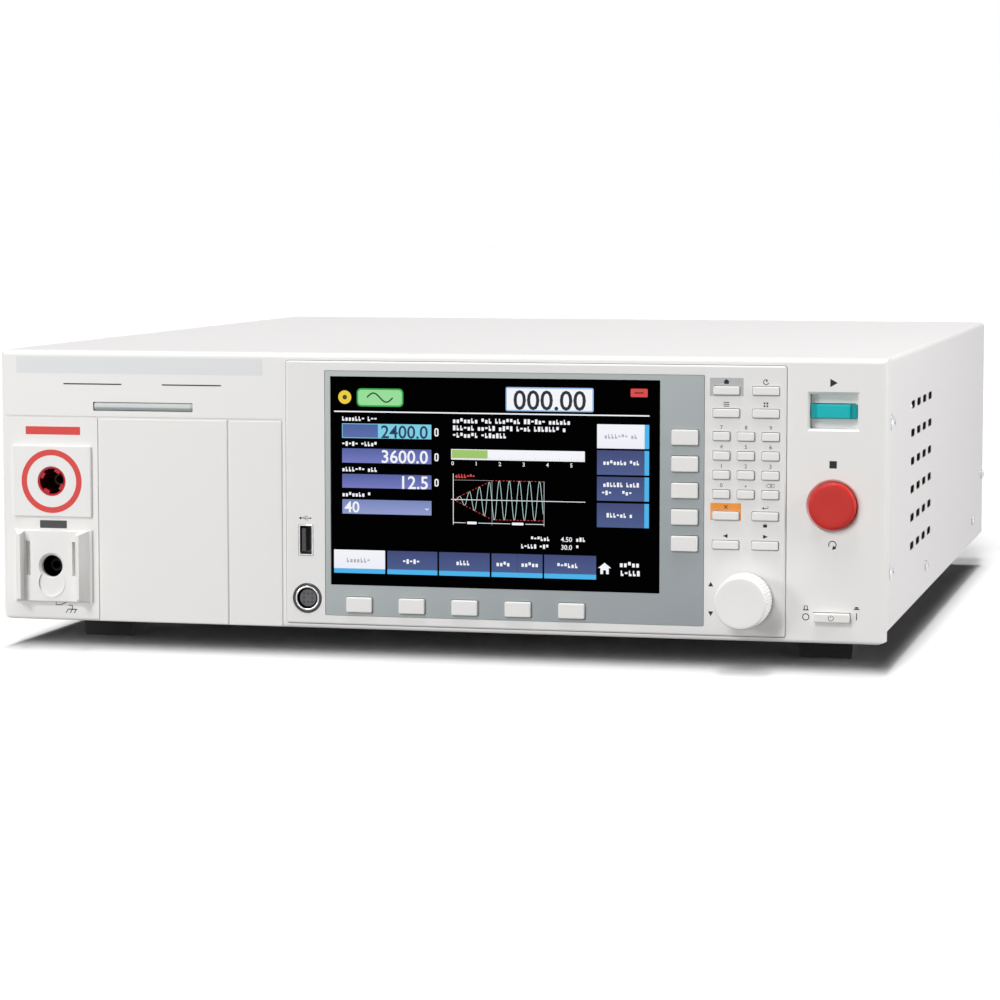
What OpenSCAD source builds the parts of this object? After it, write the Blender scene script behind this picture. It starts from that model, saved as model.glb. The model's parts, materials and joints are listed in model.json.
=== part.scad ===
// Bench electrical safety tester: folded steel cabinet, moulded front, colour screen with soft keys,
// numeric keys, a rotary knob, start, stop and power buttons, and a pair of output terminals.
// Millimetres, +Z up, front facing -Y. The origin is the middle of the footprint on the bench.
// Most modules are drawn in the cabinet's own frame: X from the middle of the front, Y inwards from
// the front face, Z up from the lower edge of the front panel. in_place() moves that frame home.

/* [Cabinet] */
// Width of the cabinet
cabinet_w = 430; // [424:1:520]
// Height of the front panel
panel_h = 131; // [129:1:165]
// Depth from the front face to the rear edge of the cover
cabinet_d = 480; // [400:1:580]
// Height of the side walls' lower edge above the front panel's lower edge
skirt_rise = 6; // [5:0.5:7]
// Thickness of the cover's steel sheet
sheet_t = 1.2; // [0.8:0.1:1.6]
// Thickness of the tray's steel sheet
tray_t = 1.6; // [1:0.1:2]
// Outer radius of the cover's bends
bend_r = 2.5; // [2:0.5:5]
// Height of the tray's side flanges
flange_h = 24; // [20:1:26]

/* [Front panel] */
// Thickness of the moulded face
face_t = 3; // [2.5:0.1:3.5]
// Distance that the rim reaches back
rim_d = 8; // [7:0.5:9]
// Thickness of the rim
rim_t = 2.5; // [2:0.1:2.6]
// Length of the lip that the cover slides over
lip_l = 12; // [10:1:14]
// Thickness of that lip
lip_t = 2; // [1.5:0.1:2.5]
// Rounding of the upper and side edges of the face
edge_r = 2.5; // [1:0.25:2.5]
// Rounding of the lower edge of the face
lower_edge_r = 1.5; // [0.75:0.25:2]
// Width of the bevel on each lower corner
corner_w = 3.7; // [2:0.1:5]
// Height of the bevel on each lower corner
corner_h = 1.5; // [1:0.1:2]
// Width of the output terminal block at the left end
terminal_block_w = 49.3; // [48:0.1:60]
// Width of the switch block at the right end
switch_block_w = 46.5; // [44:0.1:60]
// Height of the top of the blank covers
blank_h = 98.5; // [97:0.1:99]
// Width of the narrow blank cover
narrow_blank_w = 26.9; // [20:0.1:34]
// Gap between the two blank covers
blank_joint = 0.6; // [0.4:0.1:1]
// Height of the groove above the blank covers
groove_h = 0.8; // [0.6:0.1:1]
// Depth of that groove in the terminal block
groove_d = 0.8; // [0.4:0.1:1.2]

/* [Control fascia] */
// Width of the fascia
fascia_w = 239.3; // [238:0.1:244]
// Height of the panel strip under the fascia
lower_strip = 2.2; // [2:0.1:3]
// Height of the panel strip over the fascia
upper_strip = 3.7; // [3.6:0.1:4.5]
// Distance that the fascia stands proud of the panel
fascia_proud = 1; // [0.5:0.1:1.5]
// Rounding of the fascia's edges
fascia_edge_r = 0.9; // [0.4:0.1:1.2]
// Width of the bar between the blank covers and the fascia
mullion_w = 1.8; // [1.6:0.1:3]

/* [Screen] */
// Width of the grey screen surround
surround_w = 181.7; // [181:0.1:186]
// Height of the grey screen surround
surround_h = 116; // [115:0.1:118]
// Thickness of the screen surround
surround_t = 1; // [0.6:0.1:1.4]
// Distance from the fascia's left edge to the surround
surround_left = 19.5; // [18:0.1:20]
// Height of the surround's lower edge
surround_z = 6.6; // [6:0.1:7]
// Width of the screen window
window_w = 158.6; // [152:0.1:160]
// Height of the screen window
window_h = 99.1; // [92:0.1:100]
// Distance from the surround's left edge to the window
window_left = 2.5; // [2.4:0.1:4]
// Height of the window above the surround's lower edge
window_rise = 14.4; // [14:0.1:15]
// Distance that the glass reaches behind the surround
window_lap = 2; // [1.5:0.1:2.2]
// Thickness of the screen glass
glass_t = 1.1; // [0.7:0.1:1.5]

/* [Keys] */
// Width of a soft key
soft_key_w = 12.5; // [11:0.1:14]
// Height of a soft key
soft_key_h = 7.2; // [6:0.1:8]
// Distance between the keys under the screen
soft_pitch = 25.7; // [24:0.1:26]
// Distance between the keys beside the screen
side_pitch = 12.3; // [11.5:0.1:13]
// Width of a menu key
menu_key_w = 12.3; // [11:0.1:13]
// Width of a digit key
digit_key_w = 7.9; // [7:0.1:8.5]
// Height of the menu and digit keys
small_key_h = 3.9; // [3.6:0.1:4.6]
// Distance between the digit keys' columns
digit_pitch = 11.4; // [11:0.1:12]
// Distance between the digit keys' rows
digit_row_pitch = 8.9; // [8:0.1:9.2]
// Distance between the menu keys' columns
menu_pitch = 18.3; // [17.5:0.1:19]
// Distance that a soft key stands proud of the surround
soft_proud = 1.5; // [1:0.1:2.5]
// Distance that the other keys stand proud of the fascia
small_proud = 1.2; // [0.9:0.1:2]
// Travel of a key
key_travel = 0.8; // [0.4:0.1:0.85]

/* [Knob] */
// Diameter of the knob
knob_d = 26.2; // [20:0.1:27]
// Distance from the panel's face to the knob's front
knob_proud = 16; // [12:0.5:20]
// Number of ribs around the knob
knob_ribs = 48; // [24:1:60]
// Diameter of the knob's shaft
shaft_d = 6; // [4:0.5:6]

/* [Output terminals] */
// Distance from the panel's left edge to the terminals
terminal_inset = 26.2; // [25:0.1:28]
// Height of the high-voltage socket
hv_z = 67.6; // [66:0.1:70]
// Height of the return socket
low_z = 26.5; // [26:0.1:28]
// Width of the two terminal plates
plate_w = 40; // [38:0.5:42]
// Height of the high-voltage plate
hv_plate_h = 34.5; // [30:0.5:36]
// Height of the return terminal's guard
guard_h = 35; // [32:0.5:36]
// Height of the guard's ribs above the panel
guard_proud = 8; // [6:0.5:10]
// Height of the guard's floor above the panel
guard_floor = 3.3; // [3:0.1:5]
// Bore of the high-voltage socket's insulator
hv_bore = 12.4; // [11.6:0.1:12.6]
// Bore of the return socket's insulator
low_bore = 10.6; // [8:0.1:11]
// Bore of the sockets' spring contacts
contact_bore = 4; // [3.5:0.1:4.2]

/* [Start, stop and power] */
// Distance from the panel's right edge to the three switches
switch_inset = 25; // [24:0.1:27]
// Height of the start button
start_z = 106.7; // [105:0.1:108]
// Height of the stop button
stop_z = 63.5; // [60:0.1:66]
// Height of the power button
power_z = 12.1; // [12:0.1:13]
// Width of the start button's recess
start_w = 22; // [20:0.1:24]
// Height of the start button's recess
start_h = 16; // [14:0.1:17]
// Depth of the start button's recess
start_depth = 5; // [4:0.1:6]
// Height of the start button
start_bar_h = 6.6; // [5:0.1:8]
// Diameter of the stop button
stop_d = 21.9; // [18:0.1:23]
// Distance that the stop button stands proud of the panel
stop_proud = 4; // [3:0.1:6]
// Width of the power button
power_w = 16.7; // [14:0.1:18]
// Height of the power button
power_h = 4.2; // [4:0.1:5]
// Distance that the power button stands proud of the panel
power_proud = 3; // [2.5:0.1:4]
// Travel of the start and stop buttons
button_travel = 2; // [1:0.1:2.4]
// Travel of the power button
power_travel = 2.4; // [1:0.1:2.4]

/* [Vents and feet] */
// Length of a vent slot
vent_l = 16; // [12:0.5:20]
// Height of a vent slot
vent_h = 3.8; // [3:0.1:5]
// Distance between the columns of slots
vent_pitch = 25.7; // [22:0.1:30]
// Distance between the rows of slots
vent_row_pitch = 13.75; // [11:0.05:14]
// Distance from the front face to the first column of slots
vent_y = 102.5; // [90:0.5:120]
// Height of a foot
foot_h = 20; // [16:0.5:26]
// Width of a foot at its top
foot_w = 28; // [22:0.5:32]
// Width of a foot at its bottom
foot_bottom_w = 24; // [18:0.5:28]
// Distance from the cabinet's side to the middle of a foot
foot_inset = 34.5; // [25:0.5:45]
// Distance from the front face to the middle of the front feet
foot_y = 65; // [55:1:80]

/* [Rear and inside] */
// Thickness of the rear panel
rear_t = 1.5; // [1:0.1:2]
// Distance that the rear panel sits inside the cover's edge
rear_inset = 1; // [0.5:0.1:2]
// Distance that the earth terminal stands out behind the cover
post_proud = 16; // [12:0.5:20]
// Side of the square fan
fan_w = 80; // [70:1:80]
// Thickness of the fan
fan_t = 25; // [20:1:32]
// Number of blades on the fan
fan_blades = 7; // [5:1:9]
// Distance from the cabinet's right side to the fan's middle
fan_inset = 75; // [60:1:90]
// Height of the fan's middle
fan_z = 68; // [66:1:70]
// Length of the transformer's core
core_l = 84; // [70:1:96]
// Length of the main board
board_l = 200; // [150:1:220]
// Width of the main board
board_w = 150; // [120:1:160]
// Length of the heat sink
sink_l = 130; // [100:1:160]
// Number of fins on the heat sink
sink_fins = 9; // [5:1:12]

/* [Fits and clearances] */
// Gap seen around a piece that is let into another
seam = 0.25; // [0.15:0.05:0.3]
// Gap between sheets that slide over each other
slip = 0.2; // [0.1:0.05:0.3]
// Gap on each side of a key in its opening
key_gap = 0.3; // [0.2:0.05:0.4]
// Gap between a lip at rest and the face that stops it
stop_gap = 0.05; // [0.02:0.01:0.1]
// Running clearance on the radius of shafts and plungers
run_gap = 0.08; // [0.03:0.01:0.1]
// Clearance on the radius of a screw in its hole
screw_gap = 0.15; // [0.1:0.05:0.3]

/* [Hidden] */
$fn = 48;
big = 1000;

left_x = -cabinet_w / 2;
right_x = cabinet_w / 2;
base_z = foot_h - skirt_rise;
front_y = -(cabinet_d + post_proud - knob_proud) / 2;

fascia_x1 = right_x - switch_block_w;
fascia_x0 = fascia_x1 - fascia_w;
fascia_z1 = panel_h - upper_strip;
blank_x0 = left_x + terminal_block_w;
blank_x1 = fascia_x0 - mullion_w;
blank_split = blank_x1 - narrow_blank_w;
terminal_x = left_x + terminal_inset;
switch_x = right_x - switch_inset;

fascia_lap = 1;
lap_inside = 2.4;
lap_t = 1.2;
blank_lap = 1.5;

surround_x0 = fascia_x0 + surround_left;
surround_inset = 0.1;
surround_y = -fascia_proud + surround_inset;
glass_y = surround_y + surround_t;
window_x = surround_x0 + window_left + window_w / 2;
window_z = surround_z + window_rise + window_h / 2;
glass_w = window_w + 2 * window_lap;
glass_h = window_h + 2 * window_lap;

key_board_y = 10;
key_board_t = 1.6;
tact_h = 3.5;
tact_w = 6;
plunger_d = 3;
plunger_in = 1;
key_lip = 0.8;
key_lip_t = 1;
key_corner_r = 0.5;
key_bevel = 0.4;

soft_x = fascia_x0 + 36.2;
soft_z = 11.8;
side_x = fascia_x0 + 192.3;
side_z = 93.9;
menu_x = fascia_x0 + 211.5;
menu_z = 115.8;
menu_row_pitch = 10.4;
digit_x = fascia_x0 + 209.3;
digit_z = 94.7;
enter_z = 58.1;
arrow_z = 44.6;
knob_x = fascia_x0 + 220.7;
knob_z = 19.3;
usb_x = fascia_x0 + 9.8;
usb_z = 42.1;
remote_x = fascia_x0 + 10.4;
remote_z = 14.3;

SOFT_KEYS = [for (i = [1:5]) str("soft_key_bottom_", i)];
SIDE_KEYS = [for (i = [1:5]) str("soft_key_side_", i)];
MENU_KEYS = [for (i = [1:4]) str("menu_key_", i)];
DIGIT_KEYS = [for (i = [0:9]) str("digit_key_", i)];
WORD_KEYS = ["point_key", "clear_key", "escape_key", "enter_key", "left_key", "right_key"];

// Centre and size of every key: [x, z, width, height, distance proud, face it comes through]
function soft_key(i) =
    [soft_x + i * soft_pitch, soft_z, soft_key_w, soft_key_h, soft_proud, surround_y];
function side_key(i) =
    [side_x, side_z - i * side_pitch, soft_key_w, soft_key_h, soft_proud, surround_y];
function menu_key(i) =
    [menu_x + (i % 2) * menu_pitch, menu_z - floor(i / 2) * menu_row_pitch,
     menu_key_w, small_key_h, small_proud, -fascia_proud];
function pad_key(column, row) =
    [digit_x + column * digit_pitch, digit_z - row * digit_row_pitch,
     digit_key_w, small_key_h, small_proud, -fascia_proud];
function digit_key(n) = n == 0 ? pad_key(0, 3) : pad_key((n - 1) % 3, 2 - floor((n - 1) / 3));
function wide_key(column, z) =
    [menu_x + column * menu_pitch, z, menu_key_w, small_key_h, small_proud, -fascia_proud];
WORD_KEY_PLACES = [
    pad_key(1, 3), pad_key(2, 3),
    wide_key(0, enter_z), wide_key(1, enter_z), wide_key(0, arrow_z), wide_key(1, arrow_z)
];
KEY_PLACES = concat(
    [for (i = [0:4]) soft_key(i)], [for (i = [0:4]) side_key(i)], [for (i = [0:3]) menu_key(i)],
    [for (n = [0:9]) digit_key(n)], WORD_KEY_PLACES
);

// Moves the cabinet's frame to its place over the origin
module in_place() {
    translate([0, front_y, base_z]) children();
}

// Extrudes an outline drawn in X and Z from y0 back to y1
module along_y(y0, y1) {
    translate([0, y1, 0]) rotate([90, 0, 0]) linear_extrude(y1 - y0) children();
}

// Extrudes an outline drawn in Y and Z from x0 to x1
module along_x(x0, x1) {
    translate([x0, 0, 0]) rotate([90, 0, 90]) linear_extrude(x1 - x0) children();
}

// A round bar or hole along Y, from y0 back to y1
module round_y(x, z, d, y0, y1) {
    translate([x, y0, z]) rotate([-90, 0, 0]) cylinder(d = d, h = y1 - y0);
}

// A plain block given by its two opposite corners
module block(low, high) {
    translate(low) cube(high - low);
}

// Flat rectangle about its middle, with rounded corners
module rounded_rect(w, h, r) {
    square([w - 2 * r, h], center = true);
    square([w, h - 2 * r], center = true);
    for (sx = [-1, 1], sz = [-1, 1])
        translate([sx * (w / 2 - r), sz * (h / 2 - r)]) circle(r);
}

// Flat rectangle from a to b, h high, with its two upper corners rounded
module arch(a, b, h, ra, rb) {
    translate([a + ra, 0]) square([b - a - ra - rb, h]);
    translate([a, 0]) square([ra, h - ra]);
    translate([b - rb, 0]) square([rb, h - rb]);
    translate([a + ra, h - ra]) circle(ra);
    translate([b - rb, h - rb]) circle(rb);
}

// A straight-sided block seen from the front, with rounded corners
module face_block(x, z, w, h, r, y0, y1) {
    translate([x, 0, z]) along_y(y0, y1) rounded_rect(w, h, r);
}

// The same block with its front edges rounded too
module soft_block(x, z, w, h, corner_r, front_r, y0, y1) {
    translate([x, 0, z]) intersection() {
        along_y(y0, y1) rounded_rect(w, h, corner_r);
        linear_extrude(h, center = true)
            translate([0, y1]) mirror([0, 1]) arch(-w / 2, w / 2, y1 - y0, front_r, front_r);
        along_x(-w / 2, w / 2)
            translate([y1, 0]) rotate(90) arch(-h / 2, h / 2, y1 - y0, front_r, front_r);
    }
}

// Flat rectangle with its two upper corners cut off at 45 degrees
module bevelled(w, h, c) {
    polygon([[-w / 2, 0], [w / 2, 0], [w / 2, h - c], [w / 2 - c, h], [c - w / 2, h], [-w / 2, h - c]]);
}

// A key cap's block: rounded corners and a bevel around its front face
module bevelled_block(x, z, w, h, r, c, y0, y1) {
    translate([x, 0, z]) intersection() {
        along_y(y0, y1) rounded_rect(w, h, r);
        linear_extrude(h, center = true) translate([0, y1]) mirror([0, 1]) bevelled(w, y1 - y0, c);
        along_x(-w / 2, w / 2) translate([y1, 0]) rotate(90) bevelled(h, y1 - y0, c);
    }
}

/* Cabinet: cover, tray, rear panel, screws and feet */

cover_y0 = rim_d + seam;
tray_in = sheet_t + slip;
tray_x = cabinet_w / 2 - tray_in;
tray_top = skirt_rise + tray_t;
rear_y1 = cabinet_d - rear_inset;
rear_y0 = rear_y1 - rear_t;
side_flange_y0 = rim_d + lip_l + 1;
side_flange_y1 = rear_y0 - 20;
rear_flange_h = 14;
rear_wing_l = 14;
vent_top_z = 104.4;
vent_rows = 6;
vent_columns = 4;

// Side screws: [distance from the front, height above the panel's lower edge, into the rear wing]
cover_screws = [[166, 19], [cabinet_d - 64, 18.5]];
wing_screw = [rear_y0 - rear_wing_l / 2, 41];
bracket_screws = [[13.5, 32.4], [13.5, panel_h - 29.7]];
cover_screw_d = 3;
bracket_screw_d = 5;
cover_screw_l = 5;
rear_screw_z = skirt_rise + 8;
rear_screw_x = [for (side = [-1, 1], inset = [20, 150]) side * (cabinet_w / 2 - inset)];

module side_screw_holes(places, d) {
    for (p = places)
        translate([0, p[0], p[1]])
            rotate([0, 90, 0])
                cylinder(d = d + 2 * screw_gap, h = cabinet_w + 2, center = true);
}

module cover_outline(inset, r) {
    translate([0, skirt_rise])
        arch(inset - cabinet_w / 2, cabinet_w / 2 - inset, panel_h - skirt_rise - inset, r, r);
}

module vent_slots() {
    for (column = [0:vent_columns - 1], row = [0:vent_rows - 1])
        translate([0, vent_y + column * vent_pitch, vent_top_z - row * vent_row_pitch])
            along_x(-cabinet_w / 2 - 1, cabinet_w / 2 + 1)
                rounded_rect(vent_l, vent_h, vent_h / 2 - 0.01);
}

// The cover is one folded sheet: the top and both sides, with the side vents
module top_cover() color("whitesmoke") in_place() {
    difference() {
        along_y(cover_y0, cabinet_d) difference() {
            cover_outline(0, bend_r);
            cover_outline(sheet_t, bend_r - sheet_t);
            translate([0, skirt_rise - 1]) square([cabinet_w - 2 * sheet_t, 4], center = true);
        }
        vent_slots();
        side_screw_holes(cover_screws, cover_screw_d);
        side_screw_holes([wing_screw], cover_screw_d);
        side_screw_holes(bracket_screws, bracket_screw_d);
    }
}

tray_bend_r = 2.5;
front_tab_h = 12;
front_tab_gap = 2.5;

// The tray is the folded floor that everything inside stands on
module base_tray() color("silver") in_place() {
    flange_x = tray_x - tray_t;
    difference() {
        union() {
            block([-tray_x, cover_y0, skirt_rise], [tray_x, rear_y1, tray_top]);
            for (side = [-1, 1])
                block([side == 1 ? flange_x : -tray_x, side_flange_y0, skirt_rise],
                      [side == 1 ? tray_x : -flange_x, side_flange_y1, skirt_rise + flange_h]);
            block([-flange_x + lip_t, rear_y0 - tray_t, skirt_rise],
                  [flange_x - lip_t, rear_y0, skirt_rise + rear_flange_h]);
            block([-flange_x + lip_t, cover_y0, skirt_rise],
                  [fascia_x0 - front_tab_gap, cover_y0 + tray_t, skirt_rise + front_tab_h]);
            block([fascia_x1 + front_tab_gap, cover_y0, skirt_rise],
                  [switch_x - power_body_w / 2 - front_tab_gap, cover_y0 + tray_t,
                   skirt_rise + front_tab_h]);
        }
        side_screw_holes(cover_screws, cover_screw_d);
        for (x = rear_screw_x)
            round_y(x, rear_screw_z, cover_screw_d + 2 * screw_gap, rear_y0 - tray_t - 1, rear_y1 + 1);
        at_feet() cylinder(d = foot_screw_d + 2 * screw_gap, h = big, center = true);
    }
}

rear_x = tray_x;
rear_top = panel_h - sheet_t - slip;
fan_x = cabinet_w / 2 - fan_inset;
grille_d = fan_w - 6;
grille_rings = 5;
grille_bar = 2.4;

// Punched grille: slots between rings, crossed by straight spokes
module grille_outline() {
    ring_pitch = grille_d / 2 / grille_rings;
    difference() {
        for (ring = [1:grille_rings])
            difference() {
                circle(ring * ring_pitch - grille_bar / 2);
                circle((ring - 1) * ring_pitch + (ring > 1 ? grille_bar / 2 : grille_bar));
            }
        for (turn = [0, 90])
            rotate(turn + 45) square([grille_d + 2, 2 * grille_bar], center = true);
    }
}

inlet_x = cabinet_w / 2 - 150;
inlet_z = 40;
inlet_body_w = 27.4;
inlet_body_h = 30;
inlet_flange_w = 50;
inlet_flange_h = 34;
signal_x = -cabinet_w / 2 + 70;
serial_x = signal_x + 64;
port_z = 30;
network_x = serial_x + 42;
host_x = network_x + 26;
post_x = cabinet_w / 2 - 190;
port_upper_z = 80;

// The rear panel stands in the tray and has a wing folded forwards at each side
module rear_panel() color("gainsboro") in_place() {
    difference() {
        translate([0, 0, tray_top]) along_y(rear_y0 - rear_wing_l, rear_y1)
            arch(-rear_x, rear_x, rear_top - tray_top, bend_r - sheet_t, bend_r - sheet_t);
        block([rear_t - rear_x, 0, 0], [rear_x - rear_t, rear_y0, big]);
        translate([fan_x, 0, fan_z]) along_y(rear_y0 - 1, rear_y1 + 1) grille_outline();
        for (sx = [-1, 1], sz = [-1, 1])
            round_y(fan_x + sx * fan_hole_pitch / 2, fan_z + sz * fan_hole_pitch / 2,
                    fan_screw_d + 2 * screw_gap, rear_y0 - 1, rear_y1 + 1);
        face_block(inlet_x, inlet_z, inlet_body_w + 2 * slip, inlet_body_h + 2 * slip, 1,
                   rear_y0 - 1, rear_y1 + 1);
        face_block(signal_x, port_z, signal_w + 2 * slip, port_body_h + 2 * slip, 1,
                   rear_y0 - 1, rear_y1 + 1);
        face_block(serial_x, port_z, serial_w + 2 * slip, port_body_h + 2 * slip, 1,
                   rear_y0 - 1, rear_y1 + 1);
        face_block(network_x, port_z, network_w + 2 * slip, network_h + 2 * slip, 1,
                   rear_y0 - 1, rear_y1 + 1);
        face_block(host_x, port_z, host_w + 2 * slip, host_h + 2 * slip, 1,
                   rear_y0 - 1, rear_y1 + 1);
        round_y(post_x, port_z, post_d + 2 * screw_gap, rear_y0 - 1, rear_y1 + 1);
        side_screw_holes([wing_screw], cover_screw_d);
        for (x = rear_screw_x)
            round_y(x, rear_screw_z, cover_screw_d + 2 * screw_gap, rear_y0 - 1, rear_y1 + 1);
    }
}

foot_screw_d = 4;
foot_recess_d = 11;
foot_seat = 5;
foot_bottom_d = foot_bottom_w;
rear_foot_y = cabinet_d - foot_y;

module at_feet() {
    for (side = [-1, 1], y = [foot_y, rear_foot_y])
        translate([side * (cabinet_w / 2 - foot_inset), y, skirt_rise - foot_h]) children();
}

// Outline of a foot from one side: narrower at the bottom
module foot_outline() {
    polygon([[-foot_bottom_w / 2, 0], [foot_bottom_w / 2, 0],
             [foot_w / 2, foot_h], [-foot_w / 2, foot_h]]);
}

// Four tapered rubber feet, each with a deep recess for its screw
module feet() color("dimgray") in_place() {
    at_feet() difference() {
        intersection() {
            along_y(-foot_w, foot_w) foot_outline();
            along_x(-foot_w, foot_w) foot_outline();
        }
        translate([0, 0, -1]) cylinder(d = foot_recess_d, h = foot_h - foot_seat + 1);
        cylinder(d = foot_screw_d + 2 * screw_gap, h = big);
    }
}

// A pan-head screw on the Z axis: the head sits above z = 0 and the shank hangs below
module pan_screw(d, head_d, head_h, l) {
    cross = head_d / 2;
    difference() {
        union() {
            translate([0, 0, -l]) cylinder(d = d, h = l + 0.01);
            rotate_extrude() intersection() {
                square([head_d / 2, head_h]);
                translate([0, head_h - head_d * 0.8]) circle(head_d * 0.8);
            }
        }
        for (turn = [0, 90])
            rotate(turn) translate([-cross / 2, -head_d / 16, head_h / 3]) cube([cross, head_d / 8, head_h]);
    }
}

module screws() color("silver") in_place() {
    for (side = [-1, 1]) {
        for (p = concat(cover_screws, [wing_screw]))
            translate([side * cabinet_w / 2, p[0], p[1]]) rotate([0, side * 90, 0])
                pan_screw(cover_screw_d, 5.6, 1.8, cover_screw_l);
        for (p = bracket_screws)
            translate([side * cabinet_w / 2, p[0], p[1]]) rotate([0, side * 90, 0])
                pan_screw(bracket_screw_d, 8, 1.8, sheet_t + slip + lip_t + 2);
    }
    for (x = rear_screw_x)
        translate([x, rear_y1, rear_screw_z]) rotate([-90, 0, 0])
            pan_screw(cover_screw_d, 5.6, 1.8, cover_screw_l);
    for (sx = [-1, 1], sz = [-1, 1])
        translate([fan_x + sx * fan_hole_pitch / 2, rear_y1, fan_z + sz * fan_hole_pitch / 2])
            rotate([-90, 0, 0]) pan_screw(fan_screw_d, 7, 2, 12);
    at_feet() translate([0, 0, foot_h - foot_seat]) rotate([180, 0, 0])
        pan_screw(foot_screw_d, 8, 2.4, foot_seat + tray_t + 2);
}

/* Front: panel, blank covers, fascia and screen */

// The panel seen from the front, with its bevelled lower corners
module panel_outline() {
    w = cabinet_w / 2;
    polygon([[-w, corner_h], [corner_w - w, 0], [w - corner_w, 0], [w, corner_h],
             [w, panel_h], [-w, panel_h]]);
}

// The outer form of the panel: flat face, rounded edges and a rim
module panel_form() {
    intersection() {
        along_y(0, rim_d) panel_outline();
        linear_extrude(panel_h)
            translate([0, rim_d]) mirror([0, 1])
                arch(-cabinet_w / 2, cabinet_w / 2, rim_d, edge_r, edge_r);
        along_x(-cabinet_w / 2, cabinet_w / 2)
            translate([rim_d, 0]) rotate(90) arch(0, panel_h, rim_d, lower_edge_r, edge_r);
    }
}

boss_d = 6;
boss_z = skirt_rise + front_tab_h / 2;
panel_bosses = [left_x + 8, blank_x0 - 7, fascia_x1 + 4.4];
power_body_w = 22;
start_wall = 1.5;
start_floor_t = 1.5;
stop_hole_d = stop_d + 2 * key_gap;
stop_bevel = 1;
start_bevel = 1;
lens_w = 49.9;
lens_h = 3.8;
lens_x = left_x + 72.4;
lens_z = blank_h + 5.6;
lens_lap = 0.8;
socket_gap = 0.1;
hv_barrel_d = 14.2;
low_barrel_d = low_bore + 3;

// A recess mouth with sloping sides, cut c deep and c wide into the panel's face
module mouth_bevel(x, z, w, h, c) {
    translate([x, 0, z]) intersection() {
        along_y(-1, c) square([w + 2 * c, h + 2 * c], center = true);
        linear_extrude(h + 2 * c, center = true)
            polygon([[-w / 2 - c, -1], [w / 2 + c, -1], [w / 2 + c, 0], [w / 2, c], [-w / 2, c],
                     [-w / 2 - c, 0]]);
        along_x(-w / 2 - c, w / 2 + c)
            polygon([[-1, -h / 2 - c], [-1, h / 2 + c], [0, h / 2 + c], [c, h / 2], [c, -h / 2],
                     [0, -h / 2 - c]]);
    }
}

module front_panel() color("white") in_place() {
    difference() {
        union() {
            difference() {
                panel_form();
                block([rim_t - cabinet_w / 2, face_t, skirt_rise],
                      [cabinet_w / 2 - rim_t, rim_d + 1, panel_h - rim_t]);
                block([-big, face_t, -1], [big, rim_d + 1, skirt_rise]);
            }
            along_y(rim_d, rim_d + lip_l) difference() {
                panel_lip_outline(tray_in);
                panel_lip_outline(tray_in + lip_t);
                translate([0, skirt_rise]) square([2 * big, 2 * (tray_t + slip)], center = true);
            }
            for (side = [-1, 1]) {
                edge = side * (cabinet_w / 2 - rim_t);
                block([min(edge, edge - side * lip_t), face_t, tray_top + slip],
                      [max(edge, edge - side * lip_t), rim_d + 0.01, rear_top - lip_t]);
            }
            block([-cabinet_w / 2 + rim_t, face_t + lap_t + slip, rear_top - lip_t],
                  [cabinet_w / 2 - rim_t, rim_d + 0.01, panel_h - rim_t + 0.01]);
            for (x = panel_bosses) round_y(x, boss_z, boss_d, face_t - 0.01, cover_y0);
            face_block(switch_x, start_z, start_w + 2 * start_wall, start_h + 2 * start_wall, 1,
                       face_t - 0.01, start_depth + start_floor_t);
        }
        face_block((fascia_x0 + fascia_x1) / 2, (lower_strip + fascia_z1) / 2,
                   fascia_w + 2 * seam, fascia_z1 - lower_strip + 2 * seam, 1.5, -1, rim_d + lip_l + 1);
        block([blank_x0, -1, -1], [blank_x1, face_t + 1, blank_h + groove_h]);
        block([left_x - 1, -1, blank_h], [blank_x0 + 1, groove_d, blank_h + groove_h]);
        face_block(lens_x, lens_z, lens_w + 2 * seam, lens_h + 2 * seam, 0.6, -1, face_t + 1);
        round_y(terminal_x, hv_z, hv_barrel_d + 2 * socket_gap, -1, face_t + 1);
        round_y(terminal_x, low_z, low_barrel_d + 2 * socket_gap, -1, face_t + 1);
        face_block(switch_x, start_z, start_w, start_h, 0.5, -1, start_depth);
        mouth_bevel(switch_x, start_z, start_w, start_h, start_bevel);
        face_block(switch_x, start_z, start_w - 2 * start_ledge + 2 * key_gap,
                   start_bar_h + 2 * key_gap, 0.5, -1, start_depth + start_floor_t + 1);
        round_y(switch_x, stop_z, stop_hole_d, -1, face_t + 1);
        translate([switch_x, 0, stop_z]) rotate([-90, 0, 0])
            cylinder(d1 = stop_hole_d + 2 * stop_bevel, d2 = stop_hole_d, h = stop_bevel);
        face_block(switch_x, power_z, power_w + 2 * key_gap, power_h + 2 * key_gap, 0.5, -1, face_t + 1);
        side_screw_holes(bracket_screws, bracket_screw_d);
    }
}

module panel_lip_outline(inset) {
    translate([0, skirt_rise - 1])
        arch(inset - cabinet_w / 2, cabinet_w / 2 - inset, panel_h - skirt_rise + 1 - inset, 1, 1);
}

// One blank cover: a face flush with the panel, and a lap that lies behind the panel
module blank_cover(x0, x1, lap_left) {
    intersection() {
        panel_form();
        block([x0, -1, -1], [x1, face_t, blank_h]);
    }
    block([x0 - lap_left, face_t, skirt_rise], [x1, face_t + lap_t, blank_h + groove_h + blank_lap]);
}

module blank_covers() color("white") in_place() {
    wide_x1 = blank_split - blank_joint / 2;
    narrow_x0 = blank_split + blank_joint / 2;
    blank_cover(blank_x0 + seam, wide_x1, blank_lap + seam);
    blank_cover(narrow_x0, blank_x1 - seam, blank_joint / 2);
}

lens_edge_r = 1.2;

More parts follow.
